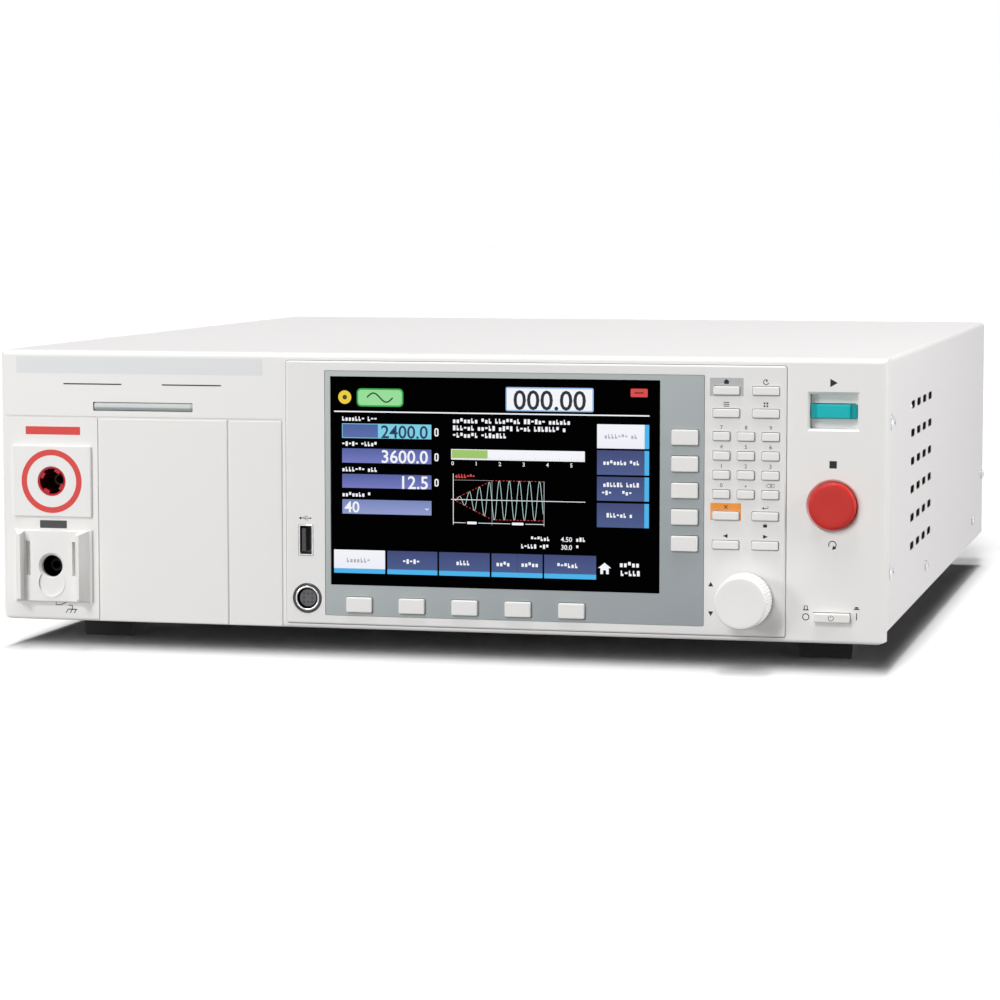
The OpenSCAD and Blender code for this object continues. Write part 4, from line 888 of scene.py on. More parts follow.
class TESTER_OT_keys(bpy.types.Operator):
    """Soft keys, menu keys, digit keys and power button with rounded edges"""

    bl_idname = "tester.keys"
    bl_label = "Keys"

    def execute(self, context):
        edge = context.scene.tester_sizes.key_edge / MM
        plastic = moulded("key_plastic", context.scene.tester_colours.keys, 0.38, 2000.0, KEY_BUMP, 0.03)
        for node in SOFT_KEYS + SMALL_KEYS:
            rounding = edge if node in SOFT_KEYS else edge * 0.8
            part = lofted(*middle(node), key_stations(node, rounding))
            build(f"{node}_cap", part, plastic, node, (node,))
        stations = key_stations("power_button", edge, (6.0, 3.0, 0.3), 0.4, 0.5)
        build("power_cap", lofted(*middle("power_button"), stations), plastic, "power_button",
              ("power_button",))
        return {"FINISHED"}


class TESTER_OT_knob(bpy.types.Operator):
    """Ribbed knob with a smooth face and a rounded front edge"""

    bl_idname = "tester.knob"
    bl_label = "Knob"

    def execute(self, context):
        sizes = context.scene.tester_sizes
        low, high = local_box("rotary_knob")
        r = (high[0] - low[0]) / 2
        front, back = low[1], -1.8
        grip = [(r - 0.25 - 0.5 * s, back - 0.5 + s * (front + 1.9 - back)) for s in np.linspace(0, 1, 9)]
        profile = [
            (STEM_RADIUS, high[1]), (STEM_RADIUS, back),
            (r - 1.0, back), (r - 0.4, back - 0.15), (r - 0.2, back - 0.45),
            *grip,
            (r - 0.95, front + 1.2),
            *turned_edge(r - 1.0, front, 0.9, 7),
            (r - 3.2, front + 0.02), (r * 0.5, front + 0.12),
        ]
        part = turned(*middle("rotary_knob"), profile, sizes.knob_ribs * 8, sizes.knob_ribs,
                      sizes.rib_depth / MM, (front + 1.35, back - 0.45))
        plastic = moulded("knob_plastic", context.scene.tester_colours.knob, 0.4, 2000.0, KEY_BUMP, 0.03)
        build("knob_grip", part, plastic, "rotary_knob", ("rotary_knob",))
        return {"FINISHED"}


class TESTER_OT_stop(bpy.types.Operator):
    """Round stop button with a soft edge"""

    bl_idname = "tester.stop"
    bl_label = "Stop button"

    def execute(self, context):
        edge = context.scene.tester_sizes.stop_edge / MM
        low, high = local_box("stop_button")
        r, front = (high[0] - low[0]) / 2 - 1.1, low[1]
        profile = [
            (STEM_RADIUS, high[1]), (STEM_RADIUS, LIP_BACK),
            (r + 1.1, LIP_BACK), (r + 1.1, LIP_FRONT), (r, LIP_FRONT),
            *turned_edge(r, front, edge, 9),
            (r * 0.6, front + 0.05), (r * 0.3, front + 0.1),
        ]
        plastic = moulded("stop_plastic", context.scene.tester_colours.stop, 0.32, 1500.0, (0.1, 0.00003),
                          0.06, None, 0.15)
        build("stop_cap", turned(*middle("stop_button"), profile, 96), plastic, "stop_button",
              ("stop_button",))
        return {"FINISHED"}


# ---- printed marks


def imprint(name, parts, material, body="cabinet"):
    """Builds thin printed plates, with flat shading."""
    build(name, join(parts), material, body, smooth=False)


def arc(x, z, r, a0, a1, steps=32):
    """Points of a circular arc, angles in degrees from the right, anticlockwise."""
    t = np.radians(np.linspace(a0, a1, steps))
    return np.stack([x + r * np.cos(t), z + r * np.sin(t)], -1)


def dot(x, z, r, y, steps=28):
    """Filled circle as a thin plate."""
    return slab(arc(x, z, r, 0, 360, steps + 1)[:-1], y - INK, y + INK)


def bar(x0, z0, x1, z1, y, r=0.05):
    """Filled rectangle as a thin plate, with slightly rounded corners."""
    outline = rounded_loop(abs(x1 - x0), abs(z1 - z0), r, 2)
    return slab(outline + [(x0 + x1) / 2, (z0 + z1) / 2], y - INK, y + INK)


def frame_print(node, outer, y):
    """Printed block with a window for a key: plates round the key's opening, where there is room."""
    x0, z0, x1, z1 = outer
    low, high = local_box(node)
    kx0, kx1 = low[0] + WINDOW_LAP, high[0] - WINDOW_LAP
    kz0, kz1 = low[2] + WINDOW_LAP, high[2] - WINDOW_LAP
    sides = ((x0, kz1, x1, z1), (x0, z0, x1, kz0), (x0, kz0, kx0, kz1), (kx1, kz0, x1, kz1))
    return [slab([(a, b), (c, b), (c, d), (a, d)], y - INK, y + INK)
            for a, b, c, d in sides if c - a > 0.2 and d - b > 0.2]


# Marks by the piece that they belong to, from its middle: (kind, points, size). The size is a
# line's or loop's width, a dot's radius or a bar's corner radius; a fill has none.
FASCIA_MARKS = {
    "point_key": [("dot", [(0, 3.8)], 0.35)],
    "clear_key": [
        ("loop", [(-1.9, 4.2), (-1.0, 5.0), (1.9, 5.0), (1.9, 3.4), (-1.0, 3.4)], 0.22),
        ("line", [(-0.2, 3.8), (0.9, 4.6)], 0.22),
        ("line", [(-0.2, 4.6), (0.9, 3.8)], 0.22),
    ],
    "menu_key_2": [
        ("line", arc(0, 4.0, 1.15, 60, 350), 0.36),
        ("fill", [(0.1, 5.2), (0.1, 4.0), (1.0, 4.6)], 0),
    ],
    "menu_key_3": [("line", [(-1.3, v), (1.3, v)], 0.36) for v in (3.2, 4.05, 4.9)],
    "menu_key_4": [("bar", [(u - 0.4, v - 0.4), (u + 0.4, v + 0.4)], 0.05)
                   for u in (-0.65, 0.65) for v in (3.4, 4.7)],
    "enter_key": [
        ("line", [(1.3, 4.8), (1.3, 3.7), (-0.8, 3.7)], 0.28),
        ("fill", [(-1.6, 3.7), (-0.6, 3.15), (-0.6, 4.25)], 0),
        ("line", arc(0, -3.9, 0.55, 0, 180, 12), 0.22),
        ("bar", [(-0.9, -5.1), (0.9, -3.8)], 0.05),
    ],
    "left_key": [("fill", [(-1.3, 4.1), (0.9, 3.15), (0.9, 5.05)], 0)],
    "right_key": [("fill", [(1.3, 4.1), (-0.9, 5.05), (-0.9, 3.15)], 0)],
    "rotary_knob": [
        ("fill", [(-16.0, -8.0), (-14.8, -5.8), (-17.2, -5.8)], 0),
        ("fill", [(-17.2, 5.8), (-14.8, 5.8), (-16.0, 8.0)], 0),
    ],
}
USB_MARKS = [
    ("line", [(-2.6, 10.4), (2.2, 10.4)], 0.28),
    ("dot", [(-2.6, 10.4)], 0.55),
    ("fill", [(2.0, 9.9), (3.0, 10.4), (2.0, 10.9)], 0),
    ("line", [(-1.4, 10.4), (-0.2, 11.3), (1.0, 11.3)], 0.22),
    ("line", [(-0.8, 10.4), (0.4, 9.5), (1.4, 9.5)], 0.22),
]
PANEL_MARKS = {
    "start_button": [("fill", [(-1.6, 11.2), (1.8, 13.1), (-1.6, 15.0)], 0)],
    "stop_button": [
        ("bar", [(-1.7, 17.2), (1.7, 20.6)], 0.05),
        ("line", arc(0, -17.9, 1.7, -60, 210), 0.42),
        ("fill", [(-0.2, -20.2), (1.8, -19.6), (0.5, -18.1)], 0),
    ],
    "power_button": [
        ("loop", arc(-12.0, 0, 1.45, 0, 360, 33)[:-1], 0.42),
        ("line", [(11.4, -0.9), (11.4, 2.3)], 0.42),
        ("bar", [(-13.3, 3.0), (-10.7, 3.5)], 0.05),
        ("line", [(-12.7, 3.5), (-12.7, 5.1), (-11.3, 5.1), (-11.3, 3.5)], 0.42),
        ("bar", [(10.1, 3.9), (12.7, 4.4)], 0.05),
        ("bar", [(10.6, 4.5), (12.2, 5.2)], 0.3),
    ],
}
# From the guard's middle across and from the panel's lower edge up
GUARD_MARKS = [
    ("line", [(1.0, 9.1), (1.0, 7.4), (3.3, 7.4), (6.3, 8.8)], 0.4),
    ("line", [(7.5, 7.3), (9.3, 7.3), (9.3, 5.4)], 0.4),
    ("line", [(6.9, 5.4), (11.7, 5.4)], 0.45),
    *[("line", [(7.2 + k * 2.1, 5.4), (6.1 + k * 2.1, 3.6)], 0.4) for k in range(3)],
]
HOUSE = [("fill", [(-1.5, 4.0), (-1.1, 4.0), (-1.1, 3.0), (1.1, 3.0), (1.1, 4.0), (1.5, 4.0), (0, 5.3)], 0)]
CROSS = [("line", [(-0.8, a), (0.8, b)], 0.3) for a, b in ((3.2, 4.8), (4.8, 3.2))]
POWER_SIGN = [("line", arc(0, 0, 1.15, 125, 415), 0.26), ("line", [(0, 0.3), (0, 1.5)], 0.26)]
# In the cabinet's own frame
STRIPE_MARKS = [("line", [(a, 114.8), (b, 114.8)], 0.6) for a, b in ((-182.7, -153.2), (-132.8, -103.1))]


def drawn(marks, x, z, y, thicker=1.0):
    """The marks' plates, moved by (x, z) onto the face at y; thicker scales every line's width."""
    parts = []
    for kind, points, size in marks:
        points = np.asarray(points, float) + [x, z]
        if kind == "dot":
            parts.append(dot(*points[0], size, y))
        elif kind == "bar":
            parts.append(bar(*points[0], *points[1], y, size))
        elif kind == "fill":
            parts.append(slab(points, y - INK, y + INK))
        else:
            parts.append(ribbon(points, size * thicker, y - INK, y + INK, kind == "loop"))
    return parts


class TESTER_OT_legends(bpy.types.Operator):
    """Digits, arrows and plain symbols printed on the front"""

    bl_idname = "tester.legends"
    bl_label = "Legends"

    def execute(self, context):
        sizes = context.scene.tester_sizes
        tones = context.scene.tester_colours
        thicker = sizes.stroke / MM / PLAIN_STROKE
        digit_h = sizes.digit_height / MM
        face = FASCIA_FACE
        marks = []
        for n in range(10):
            x, z = middle(f"digit_key_{n}")
            marks.append(glyphs(str(n), x, z + DIGIT_RISE, digit_h, face - INK, face + INK))
        for node, shapes in FASCIA_MARKS.items():
            marks += drawn(shapes, *middle(node), face, thicker)
        marks += drawn(USB_MARKS, USB[0], USB[1], face, thicker)
        for node, shapes in PANEL_MARKS.items():
            marks += drawn(shapes, *middle(node), PANEL_FACE, thicker)
        marks += drawn(GUARD_MARKS, middle("low_guard")[0], 0, PANEL_FACE, thicker)
        marks += drawn(STRIPE_MARKS, 0, 0, PANEL_FACE, thicker)
        ink = printed("dark_ink", tones.ink, 0.1, 0.55, 0.15)
        imprint("printed_marks", marks, ink)

        cap_face = local_box("power_button")[0][1]
        sign = drawn(POWER_SIGN, *middle("power_button"), cap_face, thicker)
        imprint("power_sign", sign, ink, "power_button")

        grey = printed("grey_print", tones.pale_block, 0.05)
        orange = printed("orange_print", tones.orange, 0.05, 0.45)
        for node, outer, block, tint, name, shapes in (
            ("menu_key_1", (133.0, 113.2, 148.6, 121.6), "grey_block", grey, "home_mark", HOUSE),
            ("escape_key", (133.5, 55.7, 147.8, 63.9), "orange_block", orange, "escape_mark", CROSS),
        ):
            imprint(block, frame_print(node, outer, face), tint)
            imprint(name, drawn(shapes, *middle(node), face - INK, thicker), ink)
        return {"FINISHED"}


class TESTER_OT_terminals(bpy.types.Operator):
    """Ring, plain colour blocks and seat ring at the output terminals, and the pale stripe over them"""

    bl_idname = "tester.terminals"
    bl_label = "Terminal prints"

    def execute(self, context):
        sizes = context.scene.tester_sizes
        tones = context.scene.tester_colours
        face = local_box("hv_plate")[0][1]
        outer, inner = sizes.ring_outer / MM / 2, sizes.ring_inner / MM / 2
        section = [(inner, face + INK), (outer, face + INK), (outer, face - INK), (inner, face - INK)]
        red = printed("red_print", tones.ring, 0.05, 0.5, 0.1)
        dark = printed("dark_print", linear((34, 34, 37)), 0.08)
        pale = printed("pale_print", linear((220, 221, 222)), 0.03)
        imprint("red_ring", [ring(*middle("hv_socket"), section, 96)], red)
        imprint("red_block", [bar(-202.4, 90.1, -174.5, 94.0, PANEL_FACE, 0.2)], red)
        imprint("dark_block", [bar(-195.6, 44.7, -181.8, 48.5, PANEL_FACE, 0.2)], dark)
        x, z = middle("low_guard")
        seat = arc(x, z - SEAT_DROP, SEAT_RADIUS, 146, 394, 60)
        raised = ribbon(seat, 0.5, GUARD_FLOOR - 0.22, GUARD_FLOOR + 0.05)
        build("seat_ring", raised, white_plastic("seat_plastic", tones.front), "cabinet")
        imprint("pale_stripe", [bar(-206.8, 119.8, -82.3, 127.7, PANEL_FACE, 0.2)], pale)
        return {"FINISHED"}


# ---- screen picture

# Where u and v start in from the surround's lower left corner, the numbers' added stroke as a share
# of the font's size, the dashes, and the colours
WINDOW_INSET = 1.8
WINDOW_RISE = 14.4
SCREEN_BOLD = 0.012
DASH_LENGTH = 0.9
DASH_GAP = 0.8
DASH_WIDTH = 0.22
WHITE = linear((246, 247, 252))
BLACK = linear((14, 20, 34))
TILE = linear((52, 64, 116))
TILE_LOW = linear((66, 84, 136))
GREY_WHITE = linear((240, 240, 250))
TILE_EDGE = linear((66, 180, 236))
FIELD = linear((78, 92, 160))
FIELD_LOW = linear((112, 118, 190))
FIELD_LIT = linear((118, 206, 228))
FIELD_PALE = linear((118, 132, 186))
FIELD_PALE_LOW = linear((142, 156, 206))
FIELD_DEEP = linear((66, 92, 158))
FIELD_DEEP_LOW = linear((86, 104, 170))
GREEN = linear((150, 222, 152))
GREEN_EDGE = linear((40, 170, 70))
RED = linear((216, 62, 58))
GAUGE = linear((158, 198, 104))
WAVE = linear((196, 230, 226))
DASH = linear((224, 70, 60))
GREY = linear((176, 178, 186))


class Picture:
    """Collects flat coloured shapes in the screen's own u and v, in layers towards the viewer."""

    def __init__(self, u0, v0):
        self.corner = np.array([u0, v0])
        self.parts = []
        self.tints = []

    def depth(self, layer):
        """Front and back of a layer, each layer a little nearer to the viewer than the last."""
        face = GLASS_FACE - 0.015 - 0.015 * layer
        return face, face + 0.012

    def keep(self, part, tint):
        """Takes in a part, with its colour at every vertex."""
        self.parts.append(part)
        self.tints.append(np.tile([*tint, 1.0], (len(part[0]), 1)))

    def block(self, u0, v0, u1, v1, tint, layer=0, r=0.15, low=None):
        """Rounded rectangle; with low given, its colour runs from tint at the top to low."""
        self.fill(rounded_loop(u1 - u0, v1 - v0, r, 4) + [(u0 + u1) / 2, (v0 + v1) / 2], tint, layer)
        if low is not None:
            share = (self.parts[-1][0][:, 2] - self.corner[1] - v0) / (v1 - v0)
            mixed = np.array(low) + (np.array(tint) - np.array(low)) * share[:, None]
            self.tints[-1][:, :3] = mixed

    def words(self, u0, v, u1, tint, layer=0, height=1.2, seed=1):
        """A line of small marks in groups, as lettering looks from afar, but that reads as nothing."""
        picks = np.random.default_rng(seed)
        mark, gap = 0.62 * height / 1.2, 0.3 * height / 1.2
        u = u0
        while u < u1 - mark:
            for _ in range(picks.integers(3, 8)):
                if u > u1 - mark:
                    break
                tall = picks.choice([0.72, 0.72, 1.0])
                base = v - height / 2
                kind = picks.integers(0, 3)
                if kind == 0:
                    self.block(u, base, u + mark, base + height * tall, tint, layer, 0.12)
                elif kind == 1:
                    self.block(u, base, u + mark * 0.45, base + height, tint, layer, 0.05)
                    self.block(u + mark * 0.4, base, u + mark, base + height * 0.4, tint, layer, 0.05)
                else:
                    self.block(u, base + height * 0.38, u + mark, base + height * tall, tint, layer, 0.05)
                u += mark + gap
            u += gap * 2.4

    def fill(self, outline, tint, layer=0):
        """Flat shape with the given outline."""
        self.keep(slab(outline + self.corner, *self.depth(layer)), tint)

    def stroke(self, points, width, tint, layer=0):
        """Line of a width through the points."""
        self.keep(ribbon(np.asarray(points, float) + self.corner, width, *self.depth(layer)), tint)

    def dashes(self, a, b, tint, layer):
        """Dashed straight line from a to b."""
        a, b = np.asarray(a, float), np.asarray(b, float)
        size = np.linalg.norm(b - a)
        along = (b - a) / size
        for s in np.arange(0.0, size - DASH_LENGTH / 2, DASH_LENGTH + DASH_GAP):
            self.stroke([a + along * s, a + along * min(s + DASH_LENGTH, size)], DASH_WIDTH, tint, layer)

    def number(self, text, u, v, height, tint, layer=1, anchor=1.0):
        """A plain number, by its right end unless the anchor says otherwise."""
        spot = self.corner + [u, v]
        self.keep(glyphs(text, *spot, height, *self.depth(layer), anchor, SCREEN_BOLD), tint)


# Label's height and end, the field's top and bottom, its colour and the colour at its foot
FIELDS = (
    (79.1, 24.0, 76.8, 69.9, FIELD_LIT, None),
    (67.2, 25.1, 65.0, 58.2, FIELD, FIELD_LOW),
    (55.1, 25.1, 52.9, 46.3, FIELD, FIELD_LOW),
    (43.2, 21.2, 40.8, 34.0, FIELD_PALE, FIELD_PALE_LOW),
)


def draw_fields(picture):
    """Four setting fields at the left: a label line over each, and a plain number in it."""
    for i, (label, label_end, top, bottom, tint, low) in enumerate(FIELDS):
        picture.words(6.4, label, label_end, WHITE, height=2.1, seed=i)
        picture.block(6.3, bottom, 49.9, top, tint, low=low)
        if i == 0:
            picture.block(6.6, bottom + 0.3, 23.9, top - 0.3, FIELD_DEEP, 1, low=FIELD_DEEP_LOW)
        if i < 3:
            picture.block(51.4, bottom + 1.4, 53.4, top - 1.6, WHITE, 0, 0.9)
            picture.block(52.0, bottom + 2.0, 52.8, top - 2.2, linear((5, 5, 8)), 1, 0.35)
    picture.block(23.9, 70.2, 48.6, 76.5, FIELD_LIT, 1)
    picture.number("2400.0", 48.2, 73.3, 6.2, linear((16, 44, 84)), 2)
    picture.number("3600.0", 48.2, 61.6, 6.2, WHITE)
    picture.number("12.5", 48.2, 49.5, 6.2, WHITE)
    picture.number("40", 7.4, 37.4, 5.4, WHITE, anchor=0.0)
    picture.stroke([(46.9, 37.2), (47.7, 36.5), (48.5, 37.2)], 0.4, WHITE, 1)


def draw_header(picture):
    """Line across the top, with a green mark, a large plain reading and a small red mark."""
    picture.block(2.4, 82.15, 154.1, 82.75, WHITE)
    picture.block(13.6, 84.9, 36.3, 93.5, GREEN_EDGE, 0, 2.0)
    picture.block(14.3, 85.6, 35.6, 92.8, GREEN, 1, 1.6)
    t = np.linspace(0.0, 2 * math.pi, 40)
    picture.stroke(np.stack([18.6 + t * 2.0, 89.2 + 2.1 * np.sin(t)], -1), 0.7, linear((24, 60, 36)), 2)
    turn = np.linspace(0.0, 2 * math.pi, 36, endpoint=False)
    for radius, tint, layer in ((3.2, linear((236, 206, 50)), 0), (1.1, linear((60, 50, 20)), 1)):
        picture.fill(np.stack([7.7 + radius * np.cos(turn), 89.2 + radius * np.sin(turn)], -1), tint, layer)
    picture.block(85.8, 83.8, 127.7, 95.0, linear((150, 190, 236)), 0, 0.8)
    picture.block(86.4, 84.4, 127.1, 94.4, WHITE, 1, 0.5)
    picture.number("000.00", 106.8, 89.3, 9.4, BLACK, 2, 0.5)
    picture.block(145.2, 91.1, 153.2, 95.0, RED, 0, 0.5)
    picture.block(147.0, 92.7, 151.4, 93.4, linear((110, 20, 24)), 1, 0.2)
    for v, u1, seed in ((78.9, 119.0, 3), (75.5, 115.3, 5), (72.1, 86.7, 7)):
        picture.words(60.4, v, u1, WHITE, height=2.3, seed=seed)


def draw_gauge(picture):
    """Bar gauge with its scale of plain numbers."""
    picture.block(59.5, 60.6, 123.6, 65.5, WHITE)
    picture.block(59.8, 61.3, 77.1, 65.2, GAUGE, 1)
    for k in range(56):
        u = 60.3 + k * 1.14
        picture.stroke([(u, 60.7), (u, 61.6 if k % 5 else 62.1)], 0.12, GREY, 2)
    for k in range(6):
        picture.number(str(k), 60.2 + k * 11.4, 58.9, 1.9, WHITE, 0, 0.5)


def draw_wave(picture):
    """Test wave: a sine whose height rises to a plateau, inside its dashed outline."""
    u0, u1, u2, zero, top = 60.5, 79.2, 104.2, 41.8, 9.2
    picture.stroke([(u0, 30.0), (u0, 54.0)], 0.3, WHITE)
    picture.stroke([(59.4, zero), (123.9, zero)], 0.3, WHITE)
    picture.stroke([(u1, 30.0), (u1, 51.0)], 0.18, GREY)
    picture.stroke([(u2, 30.0), (u2, 51.0)], 0.3, GREY)
    u = np.linspace(u0, u2 - 0.4, 460)
    height = top * np.clip((u - u0) / (u1 - u0), 0.0, 1.0)
    wave = zero + height * np.cos((u - 77.9) * 2 * math.pi / 4.83)
    picture.stroke(np.stack([u, wave], -1), 0.23, WAVE, 1)
    for way in (-1, 1):
        picture.dashes((u0, zero), (u1, zero + way * top), DASH, 2)
        picture.dashes((u1, zero + way * top), (u2, zero + way * top), DASH, 2)
    picture.stroke([(u0, zero + top), (u1, zero + top)], 0.14, GREY, 0)
    for a, b, gap0, gap1 in ((u0, u1, 66.4, 72.6), (u1, u2, 88.0, 95.2)):
        for ends in ((a, gap0), (gap1, b)):
            picture.stroke([(u, 30.9) for u in ends], 0.26, WHITE, 1)
        picture.block(gap0 + 0.8, 30.3, gap1 - 0.8, 31.5, WHITE, 1, 0.35)
    picture.words(61.6, 52.9, 72.6, DASH, height=1.8, seed=2)
    rows = ((24.2, 98.0, "4.50", 124.4, 4, 8), (20.5, 93.3, "30.0", 121.4, 6, 9))
    for v, name_start, _, _, seed, _ in rows:
        picture.words(name_start, v, 106.8, WHITE, height=2.0, seed=seed)
    for v, _, value, _, _, _ in rows:
        picture.number(value, 117.6, v, 2.3, WHITE, 0)
    for v, _, _, unit_end, _, seed in rows:
        picture.words(119.6, v, unit_end, WHITE, height=2.0, seed=seed)


# Bottom, top and the words' start, rise from the middle, end and seed
SIDE_TILES = (
    (67.1, 78.3, [(133.0, 0, 148.8, 2)]),
    (54.8, 66.2, [(132.4, 0, 149.4, 3)]),
    (42.7, 53.9, [(132.4, 1.9, 149.4, 8), (131.8, -1.9, 136.8, 1), (141.4, -1.9, 146.8, 9)]),
    (30.3, 41.6, [(134.0, 0, 147.6, 5)]),
)
# Left, right and the words' ends
LOW_TILES = (
    (2.1, 27.2, [(8.4, 20.0)]),
    (28.3, 52.7, [(36.0, 45.0)]),
    (53.6, 78.1, [(62.0, 69.8)]),
    (79.0, 103.5, [(81.4, 89.0), (93.4, 101.6)]),
    (104.3, 129.1, [(110.6, 122.6)]),
)
HOME = [(130.0, 11.2), (131.1, 11.2), (131.1, 8.4), (132.4, 8.4), (132.4, 10.2), (133.8, 10.2), (133.8, 8.4),
        (135.1, 8.4), (135.1, 11.2), (136.3, 11.2), (133.1, 13.7)]


def draw_tiles(picture):
    """Tiles beside the soft keys: four at the right, five below, each with a bright edge."""
    shades = [(WHITE, GREY_WHITE, GREY)] + [(TILE, TILE_LOW, WHITE)] * 4
    for k, (v0, v1, lines) in enumerate(SIDE_TILES):
        tint, low, text = shades[k]
        picture.block(129.4, v0, 151.9, v1, tint, low=low)
        picture.block(151.7, v0, 154.0, v1, TILE_EDGE)
        for a, rise, b, seed in lines:
            picture.words(a, (v0 + v1) / 2 + rise, b, text, 1, 2.1, seed)
    for k, (u0, u1, spans) in enumerate(LOW_TILES):
        tint, low, text = shades[k]
        picture.block(u0, 7.9, u1, 16.8, tint, low=low)
        picture.block(u0, 5.7, u1, 8.0, TILE_EDGE)
        for a, b in spans:
            picture.words(a, 11.9, b, text, 1, 2.2, k)
    picture.stroke([(91.4, 8.0), (91.4, 16.8)], 0.2, linear((36, 46, 84)), 1)
    picture.fill(HOME, WHITE)
    picture.words(140.4, 13.1, 150.6, WHITE, 0, 2.5, 3)
    picture.words(140.8, 9.0, 150.2, WHITE, 0, 2.5, 6)


class TESTER_OT_screen(bpy.types.Operator):
    """Lit picture just in front of the screen's glass"""

    bl_idname = "tester.screen"
    bl_label = "Screen picture"

    def execute(self, context):
        low = local_box("screen_surround")[0]
        picture = Picture(low[0] + WINDOW_INSET, low[2] + WINDOW_RISE)
        for draw in (draw_header, draw_fields, draw_gauge, draw_wave, draw_tiles):
            draw(picture)
        glow = screen_material("lit_picture", context.scene.tester_sizes.screen_glow)
        build("screen_picture", join(picture.parts), glow, "cabinet", smooth=False,
              colours=np.vstack(picture.tints))
        return {"FINISHED"}


# ---- stage

CAMERA_PLACE = (390.72, -1495.98, 201.21)
CAMERA_TURN = 0.23434
CAMERA_TILT = 0.08962
FOCAL_PIXELS = 3298.35
FRAME_PIXELS = 1000
SENSOR = 36.0
WORLD_LEVEL = 0.02
FLOOR_HALF = 14.0
FLOOR_LEVEL = 0.15
FLOOR_SEEN = 0.5

# Suns as (name,) way they shine, share of a plain white level, spread in degrees. The floor's own
# draw its dark soft shadow; the pieces' keep them at the colours written above.
FLOOR_SUNS = (
    ((-0.10, 2.20, -1.0), 0.12, 20),
    ((-0.06, 1.40, -1.0), 0.20, 18),
    ((-0.03, 0.80, -1.0), 0.22, 14),
    ((0.01, 0.25, -1.0), 0.24, 8),
    ((0.01, -0.05, -1.0), 0.20, 7),
    ((0.01, -0.12, -1.0), 0.14, 7),
)
SUNS = (
    ("top", (0.10, 0.12, -1.0), 0.59, 20),
    ("key", (0.32, 0.74, -0.59), 0.41, 16),
    ("front", (0.12, 1.0, -0.02), 0.10, 6),
    ("right", (-1.0, -0.02, -0.02), 0.40, 6),
)
# Round panels as name, place, power and diameter. The back one stays below the top's plane, so
# that the top doesn't mirror it to the camera.
PANEL_AIM = (0.0, -0.2, 0.07)
PANELS = (
    ("left_panel", (-0.9, -1.4, 0.30), 6.2, 0.4),
    ("right_panel", (0.95, -0.4, 0.55), 3.1, 0.3),
    ("back_panel", (0.0, 1.0, 0.07), 3.6, 0.14),
)


def seen_level(tree, plain, shown):
    """Light Path mask: the level shown to camera, mirror and glass rays, else the plain one."""
    path = add(tree, "ShaderNodeLightPath")
    seen = maths(tree, "MAXIMUM", path.outputs["Is Camera Ray"], path.outputs["Is Glossy Ray"])
    seen = maths(tree, "MAXIMUM", seen, path.outputs["Is Transmission Ray"])
    return maths(tree, "MULTIPLY_ADD", seen, shown - plain, plain)


def lamp(name, kind, way, energy, receivers, **settings):
    """Lamp shining along way that lights only the receivers."""
    light = bpy.data.lights.new(name, kind)
    light.energy = energy
    for key, value in settings.items():
        setattr(light, key, value)
    holder = bpy.data.objects.new(name, light)
    holder.rotation_euler = Vector(way).to_track_quat("-Z", "Y").to_euler()
    holder.light_linking.receiver_collection = receivers
    bpy.context.scene.collection.objects.link(holder)
    return holder


def sun(name, way, share, spread, receivers):
    """Sun of a spread in degrees; share is its part of a plain white level."""
    lamp(name, "SUN", way, share * math.pi, receivers, angle=math.radians(spread))


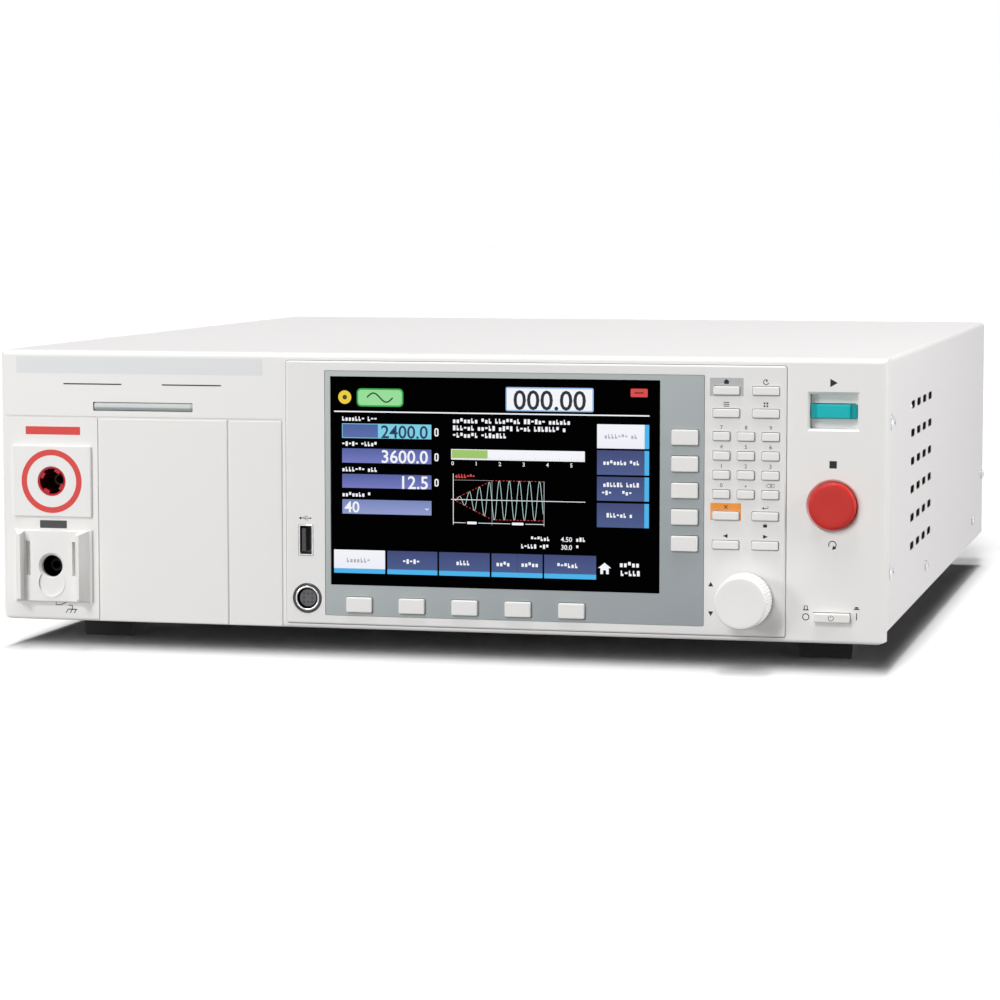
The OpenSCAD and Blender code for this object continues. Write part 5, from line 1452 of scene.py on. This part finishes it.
class TESTER_OT_stage(bpy.types.Operator):
    """Pale floor, soft lights, world and the photograph's camera"""

    bl_idname = "tester.stage"
    bl_label = "Stage"

    def execute(self, context):
        scene = context.scene
        scene.view_settings.view_transform = "Standard"
        camera = bpy.data.cameras.new("camera")
        camera.sensor_width = SENSOR
        camera.lens = FOCAL_PIXELS / FRAME_PIXELS * SENSOR
        camera.clip_end = 100.0
        holder = bpy.data.objects.new("camera", camera)
        holder.location = place([CAMERA_PLACE])[0]
        holder.rotation_euler = (math.pi / 2 - CAMERA_TILT, 0.0, CAMERA_TURN)
        scene.collection.objects.link(holder)
        scene.camera = holder

        world = bpy.data.worlds.new("studio")
        scene.world = world
        world.use_nodes = True
        tree = world.node_tree
        back = next(n for n in tree.nodes if n.type == "BACKGROUND")
        back.inputs["Color"].default_value = (1, 1, 1, 1)
        tree.links.new(seen_level(tree, WORLD_LEVEL, 1.0), back.inputs["Strength"])

        floor = bpy.data.meshes.new("floor")
        corners = [(x * FLOOR_HALF, y * FLOOR_HALF, 0) for x, y in ((-1, -1), (1, -1), (1, 1), (-1, 1))]
        floor.from_pydata(corners, [], [(0, 1, 2, 3)])
        ground = bpy.data.objects.new("floor", floor)
        scene.collection.objects.link(ground)
        paper = bpy.data.materials.new("floor_paper")
        paper.use_nodes = True
        tree = paper.node_tree
        out = next(n for n in tree.nodes if n.type == "OUTPUT_MATERIAL")
        matte = add(tree, "ShaderNodeBsdfDiffuse")
        tree.links.new(seen_level(tree, FLOOR_LEVEL, FLOOR_SEEN), matte.inputs["Color"])
        tree.links.new(matte.outputs[0], out.inputs["Surface"])
        floor.materials.append(paper)

        on_floor = bpy.data.collections.new("lit_floor")
        on_floor.objects.link(ground)
        on_pieces = bpy.data.collections.new("lit_pieces")
        for piece in scene.objects:
            if piece.type == "MESH" and piece is not ground:
                on_pieces.objects.link(piece)
        for i, (way, share, spread) in enumerate(FLOOR_SUNS):
            sun(f"floor_sun_{i}", way, share * Vector(way).length / FLOOR_SEEN, spread, on_floor)
        for name, way, share, spread in SUNS:
            sun(name, way, share, spread, on_pieces)
        for name, spot, power, size in PANELS:
            panel = lamp(name, "AREA", Vector(PANEL_AIM) - Vector(spot), power, on_pieces,
                         shape="DISK", size=size)
            panel.location = spot
            panel.visible_camera = False
        return {"FINISHED"}


class TESTER_PT_panel(bpy.types.Panel):
    """Lists the tester's steps, sizes and colours"""

    bl_label = "Safety tester"
    bl_idname = "TESTER_PT_panel"
    bl_space_type = "VIEW_3D"
    bl_region_type = "UI"
    bl_category = "Tester"

    def draw(self, context):
        for step in STEPS:
            self.layout.operator(step.bl_idname)
        for group in (context.scene.tester_sizes, context.scene.tester_colours):
            for name in group.bl_rna.properties.keys():
                if name not in ("rna_type", "name"):
                    self.layout.prop(group, name)


STEPS = (
    TESTER_OT_cabinet,
    TESTER_OT_front,
    TESTER_OT_inside,
    TESTER_OT_blanks,
    TESTER_OT_ports,
    TESTER_OT_start,
    TESTER_OT_keys,
    TESTER_OT_knob,
    TESTER_OT_stop,
    TESTER_OT_legends,
    TESTER_OT_terminals,
    TESTER_OT_screen,
    TESTER_OT_stage,
)
CLASSES = (TesterSizes, TesterColours, *STEPS, TESTER_PT_panel)


def register():
    """Registers the classes and puts the properties on the scene."""
    for kind in CLASSES:
        bpy.utils.register_class(kind)
    bpy.types.Scene.tester_sizes = bpy.props.PointerProperty(type=TesterSizes)
    bpy.types.Scene.tester_colours = bpy.props.PointerProperty(type=TesterColours)


def unregister():
    """Takes back what register() did."""
    del bpy.types.Scene.tester_colours
    del bpy.types.Scene.tester_sizes
    for kind in reversed(CLASSES):
        bpy.utils.unregister_class(kind)


def main():
    """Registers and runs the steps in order."""
    register()
    for step in STEPS:
        family, name = step.bl_idname.split(".")
        getattr(getattr(bpy.ops, family), name)()


if __name__ == "__main__":
    main()
